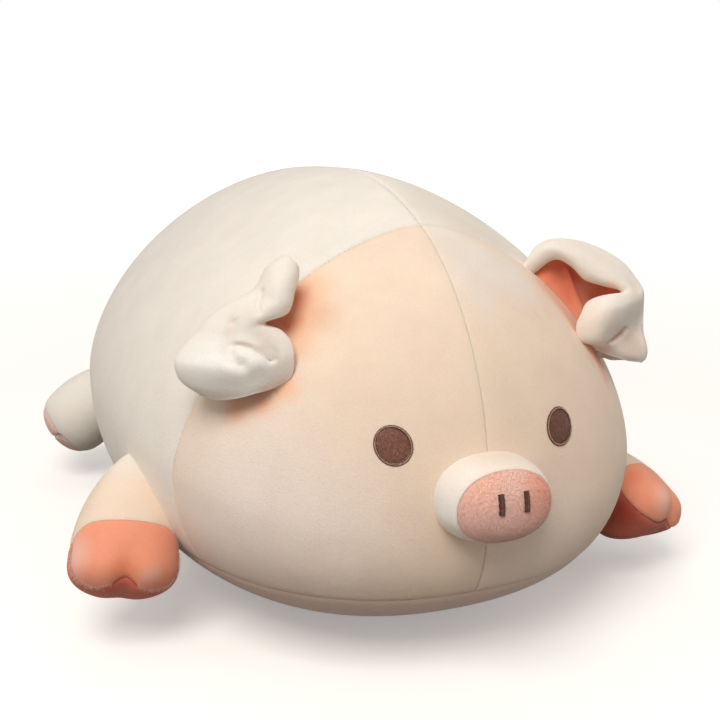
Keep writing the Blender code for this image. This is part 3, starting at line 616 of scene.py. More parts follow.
def seam_distance(point):
    """Distance to the nearest seam; the two upper seams end at the belly seam."""
    near = abs(point.z - BELLY_SEAM)
    if point.z > BELLY_SEAM:
        near = min(near, abs(point.x), abs(point.y - FACE_SEAM))
    return near


def lip(distance, deep, wide):
    """How far the cloth dives at a distance from its seam."""
    share = min(distance / wide, 1)
    return deep * (1 - math.sqrt(1 - (1 - share) ** 2))


dives = {vert: vert.normal * lip(seam_distance(vert.co), seam_depth(vert.co), SEAM_WIDTH)
         for vert in body.verts}
for vert, dive in dives.items():
    vert.co -= dive
print("deepest seam:", round(max(dive.length for dive in dives.values()) / MM, 1), "mm")

# %% [markdown]
# ## Where light and shade are painted
# The face is one peach plush, but in the room's light it doesn't look one colour: the brow is warm-lit,
# the cheek is paler, partly its own tone and partly in cooler light, the nap beside the left ear catches
# the light and looks white, the coral lining throws coral light and coloured shade on the cloth under
# each ear, and the white back beside the seam lies in shade. Soft spots paint that light and shade into
# the panels' colour, each placed by the pixel where it shows and dropped onto the skin.

# %% Helpers for cloth tone and painted light and shade


def dye(made, spots=()):
    """Writes the colour of each point, cloth tone or painted light and shade, from soft round spots of
    (place, radius, colour, strength).
    """
    layer = made.verts.layers.float_color.new("dye")
    for vert in made.verts:
        colour, amount = Vector((0, 0, 0)), 0.0
        for place, radius, tint, strength in spots:
            near = (vert.co - place).length / radius
            if near < 1 and strength:
                share = strength * (1 - near * near) ** 2
                total = share + amount * (1 - share)
                colour = (colour * amount * (1 - share) + Vector(tint) * share) / total
                amount = total
        vert[layer] = (*colour, amount)


def seen(surface, x, y):
    """The point of a surface that the camera sees at a pixel of the picture, if there is one."""
    focal = LENS_MM / SENSOR_MM * PICTURE
    ray = Vector(((x - PICTURE / 2) / focal, (PICTURE / 2 - y) / focal, -1))
    return surface.ray_cast(camera.matrix_world.translation, camera.matrix_world.to_3x3() @ ray)[0]


def spots_on(surface, spots):
    found = [(seen(surface, *pixel), radius * MM, tint, strength)
             for pixel, radius, tint, strength in spots]
    return [spot for spot in found if spot[0] is not None]


DOTS = 6


def dotted(pixels, radius, tint, strength):
    """Spots in a row along a path of pixels."""
    row = []
    for (x0, y0), (x1, y1) in zip(pixels, pixels[1:]):
        row += [((x0 + (x1 - x0) * k / DOTS, y0 + (y1 - y0) * k / DOTS), radius, tint, strength)
                for k in range(DOTS)]
    return row


# %% Spots of painted light and shade: pixel, radius in mm, colour, strength
# Painted light and shade: brow glow is warm light on the brow, pale is sheen whitening the nap, the coral
# bounce shade is coral light and coloured shadow under the ears, the cheek colour is partly the cloth's paler
# tone and partly painted cooler light, and lit coral paints the lining's glow onto the face.
BROW_GLOW, PALE, CORAL_BOUNCE_SHADE = (0.94, 0.74, 0.59), (0.88, 0.78, 0.70), (1.0, 0.44, 0.21)
CHEEK_TONE_AND_COOL_LIGHT, LIT_CORAL = (0.93, 0.80, 0.73), (1.0, 0.34, 0.17)
SPOTS = {
    "face_panel_left": [
        # painted sheen: the nap beside the left ear paled by light at a grazing angle
        ((470, 262), 34, PALE, 0.9), ((500, 268), 32, PALE, 0.9), ((446, 232), 26, PALE, 0.9),
        ((520, 285), 24, PALE, 0.75), ((480, 300), 22, PALE, 0.5), ((540, 560), 60, CHEEK_TONE_AND_COOL_LIGHT, 0.5),
        # painted coral bounce light and coloured shadow along the left ear and under its lobe
        ((545, 288), 12, CORAL_BOUNCE_SHADE, 0.6), ((560, 305), 12, CORAL_BOUNCE_SHADE, 0.65), ((574, 325), 12, CORAL_BOUNCE_SHADE, 0.6),
        ((590, 352), 11, CORAL_BOUNCE_SHADE, 0.6), ((598, 362), 9, (0.80, 0.28, 0.16), 0.8),
        ((604, 374), 10, (0.85, 0.32, 0.18), 0.6)],
    "face_panel_right": [
        ((340, 300), 75, BROW_GLOW, 0.8), ((250, 480), 75, CHEEK_TONE_AND_COOL_LIGHT, 0.75), ((215, 540), 60, CHEEK_TONE_AND_COOL_LIGHT, 0.7),
        # painted coral bounce light and coloured shadow beside the right ear and under its lobe, with the
        # lining's coral glow painted where it shows
        ((330, 540), 60, CHEEK_TONE_AND_COOL_LIGHT, 0.6), ((306, 290), 20, CORAL_BOUNCE_SHADE, 0.5), ((302, 318), 18, CORAL_BOUNCE_SHADE, 0.55),
        ((298, 345), 14, CORAL_BOUNCE_SHADE, 0.4), ((323, 317), 15, (0.80, 0.50, 0.32), 0.5),
        ((292, 300), 11, LIT_CORAL, 0.8), ((288, 324), 10, LIT_CORAL, 0.9),
        ((286, 388), 12, CORAL_BOUNCE_SHADE, 0.6), ((262, 402), 12, CORAL_BOUNCE_SHADE, 0.7), ((236, 410), 12, CORAL_BOUNCE_SHADE, 0.7)],
    # painted shade: the white back just left of the middle seam, turned away from the window lamp, is darker
    "back_panel_left": [((445, 215), 60, (0.79, 0.71, 0.62), 0.6),
                        ((485, 240), 40, (0.80, 0.68, 0.57), 0.5)]}
print("dye spots:", sum(len(spots) for spots in SPOTS.values()))

# %% Part the panels
CLOTH, BODY_FILL = 2 * MM, 0.85
PANELS = {"face_panel_left": "peach_plush", "face_panel_right": "peach_plush",
          "back_panel_left": "white_plush", "back_panel_right": "white_plush",
          "belly_panel": "belly_plush"}


def panel_of(face):
    middle = face.calc_center_median()
    if middle.z < BELLY_SEAM:
        return "belly_panel"
    return ("face" if middle.y < FACE_SEAM else "back") + "_panel_" + ("left" if middle.x > 0 else "right")


def only(whole, keep):
    """A copy of a mesh with only the faces that a list of yes and no keeps."""
    part = whole.copy()
    part.faces.ensure_lookup_table()
    bmesh.ops.delete(part, geom=[face for face, on in zip(part.faces, keep) if not on], context="FACES")
    return part


labels = [panel_of(face) for face in body.faces]
for name, slot in PANELS.items():
    panel = only(body, [label == name for label in labels])
    dye(panel, spots_on(skin, SPOTS.get(name, ())))
    replaced = [name, "body_stuffing"] if name == "belly_panel" else [name]
    piece = finish(name + "_cloth", panel, slot, "torso", replaced, CLOTH)
    print(piece.name, len(piece.data.polygons), "faces")
body.free()

# %% [markdown]
# ## The snout
# A sewn snout is a short drum: a cream band that goes round, and a pink front whose edge rolls into
# the band. Rings of a superellipse give the drum, and the seam sinks by the same lip as the body's.
# The lower half is a little shallower, since the filling sinks.

# %% Snout shape
SNOUT_WIDTH, SNOUT_HEIGHT, SNOUT_REACH, SNOUT_SEAM = 59 * MM, 44.5 * MM, 26.2 * MM, 15 * MM
SNOUT_CENTRE, SNOUT_ROOT, SNOUT_FULLNESS, SNOUT_OVAL = 105.5 * MM, 12 * MM, 2.5, 0.9
SNOUT_TURNS, SNOUT_TUCK, SNOUT_FILL = 96, 0.10, 0.9
SNOUT_LIP_DEPTH, SNOUT_LIP_WIDTH = 1.3 * MM, 3 * MM
BAND_RINGS, FRONT_RINGS = [-SNOUT_ROOT, -6 * MM, 0, 4 * MM, 8 * MM], [0.55, 0.7, 0.8, 0.88, 0.94, 0.98]


def snout_ring(reach):
    share = min(max(reach / SNOUT_REACH, 0), 1)
    swell = max(1 - share**SNOUT_FULLNESS, 0) ** (1 / SNOUT_FULLNESS)
    dive = lip(abs(reach - SNOUT_SEAM), SNOUT_LIP_DEPTH, SNOUT_LIP_WIDTH)
    ring = []
    for i in range(SNOUT_TURNS):
        turn = 2 * math.pi * i / SNOUT_TURNS
        x = (SNOUT_WIDTH / 2 - dive) * swell * power(math.cos(turn), SNOUT_OVAL)
        z = (SNOUT_HEIGHT / 2 - dive) * swell * power(math.sin(turn), SNOUT_OVAL)
        if z < 0:
            z *= 1 - SNOUT_TUCK * smooth_step(reach, 0, SNOUT_SEAM)
        ring.append(Vector((x, -BODY_LENGTH / 2 - reach, SNOUT_CENTRE + z)))
    return ring


def outward(made, centre):
    """Turns the faces of an open shell away from a point inside it."""
    made.normal_update()
    total = sum((face.calc_center_median() - centre).dot(face.normal) * face.calc_area()
                for face in made.faces)
    if total < 0:
        bmesh.ops.reverse_faces(made, faces=made.faces)


print("snout:", round(SNOUT_WIDTH / MM), "mm wide,", round(SNOUT_HEIGHT / MM, 1), "mm high")

# %% Make the snout
near_seam = [SNOUT_SEAM + sign * step for step in BESIDE[1:5] for sign in (-1, 1)]
band_reaches = sorted(BAND_RINGS + [SNOUT_SEAM] + [reach for reach in near_seam if reach < SNOUT_SEAM])
front_reaches = sorted([SNOUT_SEAM] + [reach for reach in near_seam if reach > SNOUT_SEAM]
                       + [SNOUT_REACH * math.sin(math.pi / 2 * share) for share in FRONT_RINGS])
band = mesh_from_rows([snout_ring(reach) for reach in band_reaches])
front = mesh_from_rows([snout_ring(reach) for reach in front_reaches]
                       + [[Vector((0, -BODY_LENGTH / 2 - SNOUT_REACH, SNOUT_CENTRE))]])
snout_tree = BVHTree.FromBMesh(front)
for made in (band, front):
    outward(made, Vector((0, -BODY_LENGTH / 2, SNOUT_CENTRE)))
# The band's lower-left spot is painted light where the band turns into shade; its top spot makes it darker
# and warmer. The pink front is painted brighter and more orange at the top and greyer and darker at the
# bottom, as painted light and shade.
dye(band, spots_on(BVHTree.FromBMesh(band), [((500, 455), 24, (0.85, 0.71, 0.58), 0.8),
                                             ((444, 516), 20, (1.0, 0.95, 0.90), 0.9)]))
dye(front, spots_on(snout_tree, [
    ((476, 482), 24, (1.0, 0.55, 0.42), 0.7), ((545, 488), 22, (1.0, 0.48, 0.34), 0.85),
    ((470, 540), 24, (0.68, 0.42, 0.38), 0.75), ((520, 545), 22, (0.62, 0.40, 0.36), 0.75)]))
nap_ground = front.copy()
finish("snout_band_cloth", band, "cream_plush", "torso", ["snout_band"], CLOTH)
finish("snout_front_cloth", front, "pink_plush", "torso", ["snout_front", "snout_stuffing"], CLOTH)
print("snout stands out", round(SNOUT_REACH / MM, 1), "mm")

# %% Fuzz on the snout
SNOUT_NAP = {"Density": 4.5e6, "Fibre Length": 1.1 * MM, "Fibre Width": 0.16 * MM, "Lean": 1.1, "Seed": 11}
LIT_NAP, SHADED_NAP = (1.0, 0.57, 0.44, 0.8), (0.66, 0.53, 0.51, 0.85)
fuzz("snout_front_nap", nap_ground, "pink_plush", "torso", SNOUT_NAP, LIT_NAP, SHADED_NAP)

# %% [markdown]
# ## Eyes and nostrils
# These are embroidered, not glued on: a padded fill of many short stitches in rows, and round it a
# satin ring, whose long stitches lie across the line they follow. Satin thread catches the light on
# its crest, so a narrow row of lighter thread lies on top of the dark one as a painted highlight. The
# nostrils are two upright satin bars, each with such a lighter crest row. All of them are paths
# dropped straight back onto the cloth, with its normal at each point.

# %% Paths on the cloth
EYE_OUT, EYE_HEIGHT, EYE_WIDE, EYE_TALL = 47 * MM, 133 * MM, 18.9 * MM, 19.6 * MM
RING_WIDTH, FILL_PAD, PAD_LIFT, OVAL_STEPS = 1.9 * MM, 0.9 * MM, 0.05 * MM, 72
ROW_STEP, ROW_POINTS = 0.5 * MM, 13
ROW_REACH, CREST_LIFT, PAD_RINGS = 0.95, 0.45 * MM, (1.12, 1.0, 0.93, 0.8, 0.6, 0.35, 0.12)
FILL_STITCH, FILL_WOBBLE = (0.75 * MM, 0.95 * MM, 0.42 * MM, 0.5 * MM), 0.9
RING_STITCH = 0.34 * MM, RING_WIDTH, 0.46 * MM, 1.5 * MM
CREST_STITCH = 0.34 * MM, RING_WIDTH * 0.45, 0.42 * MM, 0.75 * MM
SIDES = (("left", 1), ("right", -1))


def dropped(surface, x, z, lift=0.0):
    """The cloth in front of (x, z), as a lifted point and its normal."""
    point, normal, _, _ = surface.ray_cast(Vector((x, -1, z)), Vector((0, 1, 0)))
    return point + normal * lift, normal


def oval(x, wide, tall, lift=0.0):
    """A path round an eye."""
    turns = [2 * math.pi * i / OVAL_STEPS for i in range(OVAL_STEPS + 1)]
    return [dropped(skin, x + wide / 2 * math.cos(turn), EYE_HEIGHT + tall / 2 * math.sin(turn), lift)
            for turn in turns]


def fill_rows(x, wide, tall):
    """Level rows over the fill, highest in the middle."""
    rows, height = [], -tall / 2 + ROW_STEP
    while height < tall / 2 - ROW_STEP / 2:
        reach = ROW_REACH * wide / 2 * math.sqrt(1 - (2 * height / tall) ** 2)
        row = []
        for i in range(ROW_POINTS):
            u = reach * (2 * i / (ROW_POINTS - 1) - 1)
            inside = (2 * u / wide) ** 2 + (2 * height / tall) ** 2
            row.append(dropped(skin, x + u, EYE_HEIGHT + height, FILL_PAD * (1 - inside**2)))
        rows.append(row)
        height += ROW_STEP
    return rows


print("eye middles are", round(2 * EYE_OUT / MM), "mm apart")

# %% Eyes
for side, hand in SIDES:
    x = hand * EYE_OUT
    wide, tall = EYE_WIDE - 2 * RING_WIDTH, EYE_TALL - 2 * RING_WIDTH
    rings = [oval(x, wide * share, tall * share, FILL_PAD * (1 - share**4) + PAD_LIFT)[:-1]
             for share in PAD_RINGS]
    pad = mesh_from_rows([[point for point, _ in ring] for ring in rings]
                         + [[dropped(skin, x, EYE_HEIGHT, FILL_PAD)[0]]])
    outward(pad, Vector((x, 0, EYE_HEIGHT)))
    finish(f"eye_pad_{side}", pad, "brown_thread", "torso", [f"eye_fill_{side}"])
    sew(f"eye_fill_{side}_stitches", fill_rows(x, wide, tall), FILL_STITCH,
        DEEP_BROWN if side == "left" else LIGHT_BROWN, 3, turn=0.0, wobble=FILL_WOBBLE)
    ring = EYE_WIDE - RING_WIDTH, EYE_TALL - RING_WIDTH
    sew(f"eye_ring_{side}_satin", [oval(x, *ring)], RING_STITCH, BROWN, 5, [f"eye_ring_{side}"])
    # the crest row of lighter thread is a painted highlight
    sew(f"eye_ring_{side}_crest", [oval(x, *ring, CREST_LIFT)], CREST_STITCH, CREST_HIGHLIGHT, 6)

# %% Nostrils
NOSTRIL_OUT, NOSTRIL_HEIGHT, BAR_WIDE, BAR_TALL = 6.25 * MM, SNOUT_CENTRE + 6 * MM, 3.4 * MM, 10.5 * MM
BAR_POINTS, BAR_ROUND, BAR_LIFT, BAR_CREST, RIGHT_FURTHER = 21, 0.5 * MM, 0.3 * MM, 0.78 * MM, 1.17
BAR_STITCH = 0.42 * MM, BAR_WIDE, 0.62 * MM, 2.2 * MM
BAR_CREST_STITCH = 0.42 * MM, BAR_WIDE * 0.4, 0.5 * MM, 0.75 * MM
for side, hand in SIDES:
    out = hand * NOSTRIL_OUT * (RIGHT_FURTHER if side == "right" else 1)
    bar = []
    for i in range(BAR_POINTS):
        z = NOSTRIL_HEIGHT + (BAR_TALL / 2 - BAR_ROUND) * (2 * i / (BAR_POINTS - 1) - 1)
        bar.append(dropped(snout_tree, out, z, BAR_LIFT))
    sew(f"nostril_{side}_satin", [bar], BAR_STITCH, BROWN, 8, [f"nostril_{side}"])
    # the crest row is a lighter thread than the bar, as a painted highlight
    crest = [(point + normal * BAR_CREST, normal) for point, normal in bar[1:-1]]
    sew(f"nostril_{side}_crest", [crest], BAR_CREST_STITCH, DEEP_BROWN, 9)

# %% [markdown]
# ## Thread in the seams
# The seams are machine sewn from inside, so only a hint of thread shows at the bottom of each groove.
# Each seam's line is found by looking out from the middle of the body in the seam's own plane.

# %% Seam thread
MIDDLE, THREAD_RISE = Vector((0, 0, 0.1)), 0.15 * MM
SEAM_STITCH = 3.2 * MM, 2.6 * MM, 0.5 * MM, 0.5 * MM


def seam_line(centre, first, second, steps, lowest=None):
    """The points and normals of the skin all round a plane, in one or more runs."""
    runs, run = [], []
    for i in range(steps + 1):
        turn = 2 * math.pi * i / steps
        point, normal, _, _ = skin.ray_cast(centre, first * math.cos(turn) + second * math.sin(turn))
        hidden = seam_depth(point) < SEAM_DEPTH / 2
        if hidden or lowest is not None and point.z < lowest:
            runs, run = runs + [run], []
        else:
            run.append((point - normal * (seam_depth(point) - THREAD_RISE), normal))
    return [run for run in runs + [run] if len(run) > 1]


seam_paths = seam_line(MIDDLE, -UP, NORTH, 360, BELLY_SEAM)
seam_paths += seam_line(MIDDLE + NORTH * FACE_SEAM, -UP, EAST, 240, BELLY_SEAM)
seam_paths += seam_line(Vector((0, 0, BELLY_SEAM)), EAST, NORTH, 400)
sew("body_seam_thread", seam_paths, SEAM_STITCH, SEAM_THREAD, 2, turn=0.0, wobble=0.1, slot="white_plush")

# %% [markdown]
# ## The tail
# A stuffed cord of coral plush, sewn shut at the tip, so it curls. Its middle line is a helix whose
# radius grows from nothing, so it leaves the rump straight and then turns, as the hidden solid does.

# %% Tail line
TAIL_CURL, TAIL_REACH, TAIL_TURNS, TAIL_OFF = 11 * MM, 30 * MM, 1.25, 3.25 * MM
TAIL_RADIUS, TAIL_TAPER, TAIL_STEPS, TAIL_SIDES, TAIL_FILL = 5 * MM, 0.4, 72, 20, 0.95
TAIL_AHEAD, TAIL_ROOT_ROUND, TAIL_TIP_ROUND, TAIL_END = 0.01, 0.01, 0.08, 0.002


def joint_of(body_name):
    joint = next(joint for joint in frame["joints"] if joint["child"] == body_name)
    return Vector(joint["pos_m"])


def tail_middle(share):
    """The middle line in the tail's own place: sideways, down, out of the rump."""
    turn = 2 * math.pi * TAIL_TURNS * share
    swing = TAIL_CURL * math.sin(math.pi / 2 * min(share * 2, 1)) ** 2
    return Vector((swing * math.sin(turn), swing * (1 - math.cos(turn)), TAIL_OFF + TAIL_REACH * share))


print("tail tip, mm:", [round(value / MM, 1) for value in tail_middle(1)])

# %% Make the tail
tail_place = Matrix.Translation(joint_of("tail")) @ Matrix((EAST, -UP, NORTH)).transposed().to_4x4()
rows, side_on = [], EAST
for i in range(TAIL_STEPS + 1):
    share = i / TAIL_STEPS
    heading = (tail_middle(share + TAIL_AHEAD) - tail_middle(max(share - TAIL_AHEAD, 0))).normalized()
    side_on = (side_on - heading * side_on.dot(heading)).normalized()
    other = heading.cross(side_on)
    ends = min(share / TAIL_ROOT_ROUND, (1 - share) / TAIL_TIP_ROUND, 1)
    radius = TAIL_RADIUS * (1 - TAIL_TAPER * share) * math.sqrt(max(1 - (1 - ends) ** 2, TAIL_END))
    row = []
    for k in range(TAIL_SIDES):
        turn = 2 * math.pi * k / TAIL_SIDES
        around = side_on * math.cos(turn) + other * math.sin(turn)
        row.append(tail_place @ (tail_middle(share) + radius * around))
    rows.append(row)
tail = mesh_from_rows([[tail_place @ tail_middle(0)]] + rows + [[tail_place @ tail_middle(1)]])
dye(tail)
finish("tail_cloth", tail, "coral_plush", "tail", ["tail"], None)
print("tail rings:", len(rows))

# %% [markdown]
# ## Legs
# Each leg is a tear-shaped sleeve sewn to a hoof of two panels, one on top and one under. The sleeve
# seam dips at both sides, so the upper panel reads as a rounded patch, and the toe seam rises in the
# middle, which makes the toes look cloven. The hidden solids carry the true pose, so the frame of a
# leg is read from them: down the leg from the joint to the hoof, and out through the upper panel.
# Limp legs roll as they lie, so each front leg's pattern is then twisted about its own length.

# %% Leg frames


def middle_of(name):
    return Vector(np.array([vert.co[:] for vert in frame["nodes"][name].data.vertices]).mean(axis=0))


def leg_axes(name):
    """The leg's place: X across the toes, Y out of the upper panel, Z down the leg."""
    origin = joint_of(name)
    top, sole = middle_of(name + "_hoof_top"), middle_of(name + "_hoof_sole")
    down = ((top + sole) / 2 - origin).normalized()
    up = top - sole
    up = (up - down * up.dot(down)).normalized()
    axes = Matrix((up.cross(down), up, down)).transposed()
    return Matrix.Translation(origin) @ axes.to_4x4()


print("front_leg_left is sewn on at, mm:", [round(value / MM) for value in joint_of("front_leg_left")])

# %% Leg sizes
LEG_TAIL, TEAR_BLUNTNESS, HOOF_FULLNESS, LEG_TURNS, LEG_STEPS = 25 * MM, 0.76, 2.4, 96, 26
TOE_START, CLEFT_WIDTH, VALLEY_SPREAD, SLEEVE_BEND, LEG_FILL = 27 * MM, 7 * MM, 1.6, 8, 0.85
DROOP_FROM, DROOP_TO, PRESSED = 145 * MM, 190 * MM, 0.4
HOOF_LIP_DEPTH, HOOF_LIP_WIDTH, SLEEVE_LIP_EASE = 1.6 * MM, 4.0 * MM, 1.2 * MM
ROOT_FADE, ROOT_WHITE, SOLE_FADE, SOLE_TONE_AND_SHADE = 38 * MM, 0.9, 90 * MM, 0.85
# A leg's sole colour darkens its hoof sole towards the toes: on the front legs this is painted shade, deepest
# on the folded leg whose sole lies in shadow; on the hind legs it is the pink cloth itself.
FRONT = {"length": 41 * MM, "width": 60 * MM, "thickness": 52 * MM, "rounding": 17.5 * MM,
         "seam": 22.5 * MM, "dip": 11 * MM, "toe": 5 * MM, "rise": 11 * MM, "rise_width": 11 * MM,
         "cleft": 2 * MM, "valley": 6 * MM, "twist": -36, "droop": 0, "floor": 0,
         "sleeve": "peach_plush", "hoof": "coral_plush", "sole": (0.62, 0.12, 0.085)}
FOLDED = {**FRONT, "thickness": 62 * MM, "width": 62 * MM, "length": 44 * MM, "toe": 9 * MM,
          "rise": 5 * MM, "rise_width": 8 * MM, "twist": -50, "droop": 5 * MM, "floor": 34 * MM,
          "sole": (0.32, 0.045, 0.032)}
HIND = {"length": 44 * MM, "width": 60 * MM, "thickness": 56 * MM, "rounding": 24 * MM,
        "seam": 57 * MM, "dip": 2 * MM, "toe": 0, "rise": 2 * MM, "rise_width": 9 * MM,
        "cleft": 3 * MM, "valley": 3 * MM, "twist": 0, "droop": 0, "floor": 0,
        "sleeve": "white_plush", "hoof": "pink_plush", "sole": PINK}
LEGS = {"front_leg_left": FOLDED, "front_leg_right": FRONT, "hind_leg_left": HIND, "hind_leg_right": HIND}
# Coral sheen is painted sheen on hoof edges turned away from the eye; the sole shadow is painted shade under
# the folded hoof.
CORAL_SHEEN, DEEP_CORAL, SOLE_SHADOW = (0.95, 0.62, 0.52), (0.92, 0.28, 0.15), (0.33, 0.04, 0.025)
LEG_SPOTS = {
    "front_leg_right_hoof_top": [((74, 556), 16, CORAL_SHEEN, 0.7), ((123, 573), 12, DEEP_CORAL, 0.8),
                                 ((152, 576), 9, CORAL_SHEEN, 0.4)],
    "front_leg_left_hoof_top": [((634, 476), 9, DEEP_CORAL, 0.8), ((666, 500), 14, CORAL_SHEEN, 0.6)],
    "front_leg_left_hoof_sole": [((622, 512), 18, SOLE_SHADOW, 0.8), ((674, 521), 9, CORAL_SHEEN, 0.35)]}
RIM_LOW, RIM_HIGH, RIM_START = 1.2 * MM, 4.5 * MM, 34 * MM
RIM_NAP = {"Density": 2.0e6, "Fibre Length": 2.2 * MM, "Fibre Width": 0.25 * MM, "Lean": 0.8, "Seed": 21}
RIM_DYE = (1.0, 0.70, 0.57, 1.0)
print("legs:", ", ".join(LEGS))

# %% Leg shape


def leg_point(leg, stage, turn):
    """Stage 0 to 2 is the tear, which grows from a point, and 2 to 3 the rounded end."""
    half_x, half_y = leg["width"] / 2, leg["thickness"] / 2
    if stage <= 2:
        z = -LEG_TAIL + (LEG_TAIL + leg["length"]) * stage / 2
        swell = math.sin(math.pi / 2 * (stage / 2) ** TEAR_BLUNTNESS)
    else:
        angle = math.pi / 2 * (stage - 2)
        swell = max(math.cos(angle), 0) ** (2 / HOOF_FULLNESS) if stage < 3 else 0
        z = leg["length"] + leg["rounding"] * power(math.sin(angle), 2 / HOOF_FULLNESS)
    x, y = half_x * swell * math.cos(turn), half_y * swell * math.sin(turn)
    toe = smooth_step(z, TOE_START, leg["length"] + leg["rounding"])
    notch = math.exp(-((x / CLEFT_WIDTH) ** 2))
    z -= leg["cleft"] * notch * max(stage - 2, 0)
    if y > 0:
        y -= leg["valley"] * notch * toe * min(y / half_y * VALLEY_SPREAD, 1)
    return Vector((x, y, z))


def sleeve_shift(leg, point):
    return leg["dip"] * min(abs(point.x) / (leg["width"] / 2), 1) ** SLEEVE_BEND


def toe_shift(leg, point):
    return leg["toe"] + leg["rise"] * math.exp(-((point.x / leg["rise_width"]) ** 2))


def cut_along(made, axis, shift, place):
    """Cuts along a curved line: bend it straight, cut beside it, and bend it back."""
    across = Vector([float(k == axis) for k in range(3)])
    for vert in made.verts:
        vert.co[axis] -= shift(vert.co)
    cut(made, [across * (place + offset) for offset in CUTS], across)
    for vert in made.verts:
        vert.co[axis] += shift(vert.co)


# %% Panels and lie of a leg


def leg_labels(leg, whole):
    """The panel that each face belongs to, and whether it lies on the hoof's fuzzy rim."""
    labels, rim = [], []
    for face in whole.faces:
        middle = face.calc_center_median()
        beyond = middle.z - sleeve_shift(leg, middle) > leg["seam"]
        above = middle.y - toe_shift(leg, middle)
        rim.append(beyond and RIM_LOW < above < RIM_HIGH and middle.z > RIM_START
                   and abs(middle.x) > CLEFT_WIDTH)
        labels.append(("hoof_top" if above > 0 else "hoof_sole") if beyond else "sleeve")
    return labels, rim


def lay_down(leg, axes, whole):
    """Sinks the seams, then brings the leg to its place and lets it droop and press on the ground."""
    moved = {}
    for vert in whole.verts:
        past_sleeve = vert.co.z - sleeve_shift(leg, vert.co) - leg["seam"]
        near = abs(past_sleeve) + SLEEVE_LIP_EASE
        if past_sleeve > 0:
            near = min(near, abs(vert.co.y - toe_shift(leg, vert.co)))
        moved[vert] = axes @ (vert.co - vert.normal * lip(near, HOOF_LIP_DEPTH, HOOF_LIP_WIDTH))
    for vert, place in moved.items():
        place.z -= leg["droop"] * smooth_step(place.x, DROOP_FROM, DROOP_TO)
        if place.z < leg["floor"]:
            place.z = leg["floor"] + (place.z - leg["floor"]) * PRESSED
        vert.co = place
    whole.normal_update()


# %% Make the legs
for name, leg in LEGS.items():
    axes = leg_axes(name) @ Matrix.Rotation(math.radians(leg["twist"]), 4, "Z")
    rows = [[leg_point(leg, 0, 0)]]
    rows += [[leg_point(leg, step / LEG_STEPS, 2 * math.pi * i / LEG_TURNS) for i in range(LEG_TURNS)]
             for step in range(1, 3 * LEG_STEPS)]
    rows += [[leg_point(leg, 3, math.pi / 2)]]
    whole = mesh_from_rows(rows)
    cut_along(whole, 2, lambda point: sleeve_shift(leg, point), leg["seam"])
    cut_along(whole, 1, lambda point: toe_shift(leg, point), 0)
    outward(whole, Vector((0, 0, leg["length"] / 2)))
    whole.normal_update()
    labels, rim = leg_labels(leg, whole)
    lay_down(leg, axes, whole)
    surface = BVHTree.FromBMesh(whole)
    if leg is FRONT:
        fuzz(name + "_rim_nap", only(whole, rim), "cream_plush", name, RIM_NAP, RIM_DYE)
    root, toes = axes @ Vector((0, 0, -LEG_TAIL)), axes @ Vector((0, 0, leg["length"]))
    # The sleeve whitens towards the body; the sole spot is painted shade on the front legs and the cloth's
    # pink on the hind legs.
    spots = {"sleeve": [(root, ROOT_FADE, WHITE, ROOT_WHITE)], "hoof_top": [],
             "hoof_sole": [(toes, SOLE_FADE, leg["sole"], SOLE_TONE_AND_SHADE)]}
    for kind, shade in spots.items():
        part = only(whole, [label == kind for label in labels])
        dye(part, shade + spots_on(surface, LEG_SPOTS.get(f"{name}_{kind}", ())))
        replaced = [f"{name}_{kind}"] + ([name + "_stuffing"] if kind == "sleeve" else [])
        finish(f"{name}_{kind}_cloth", part, leg["sleeve" if kind == "sleeve" else "hoof"], name,
               replaced, CLOTH)
    whole.free()
    print(name, "points down by", round(-axes.col[2].z, 2))

# %% [markdown]
# ## Ears
# A plush ear is a leaf of two cloths with thin wadding between, so it is limp: it droops and curls
# over itself. No rule makes that fold. Each ear is drawn as ribs from the head to the rim, a few
# points each, in the ear's own frame: along the base, out of the head, and forward. A smooth curve
# through the ribs gives the outer cloth. The lining lies a thickness further in, less where the leaf
# folds tightly, so it never comes out through the fold.

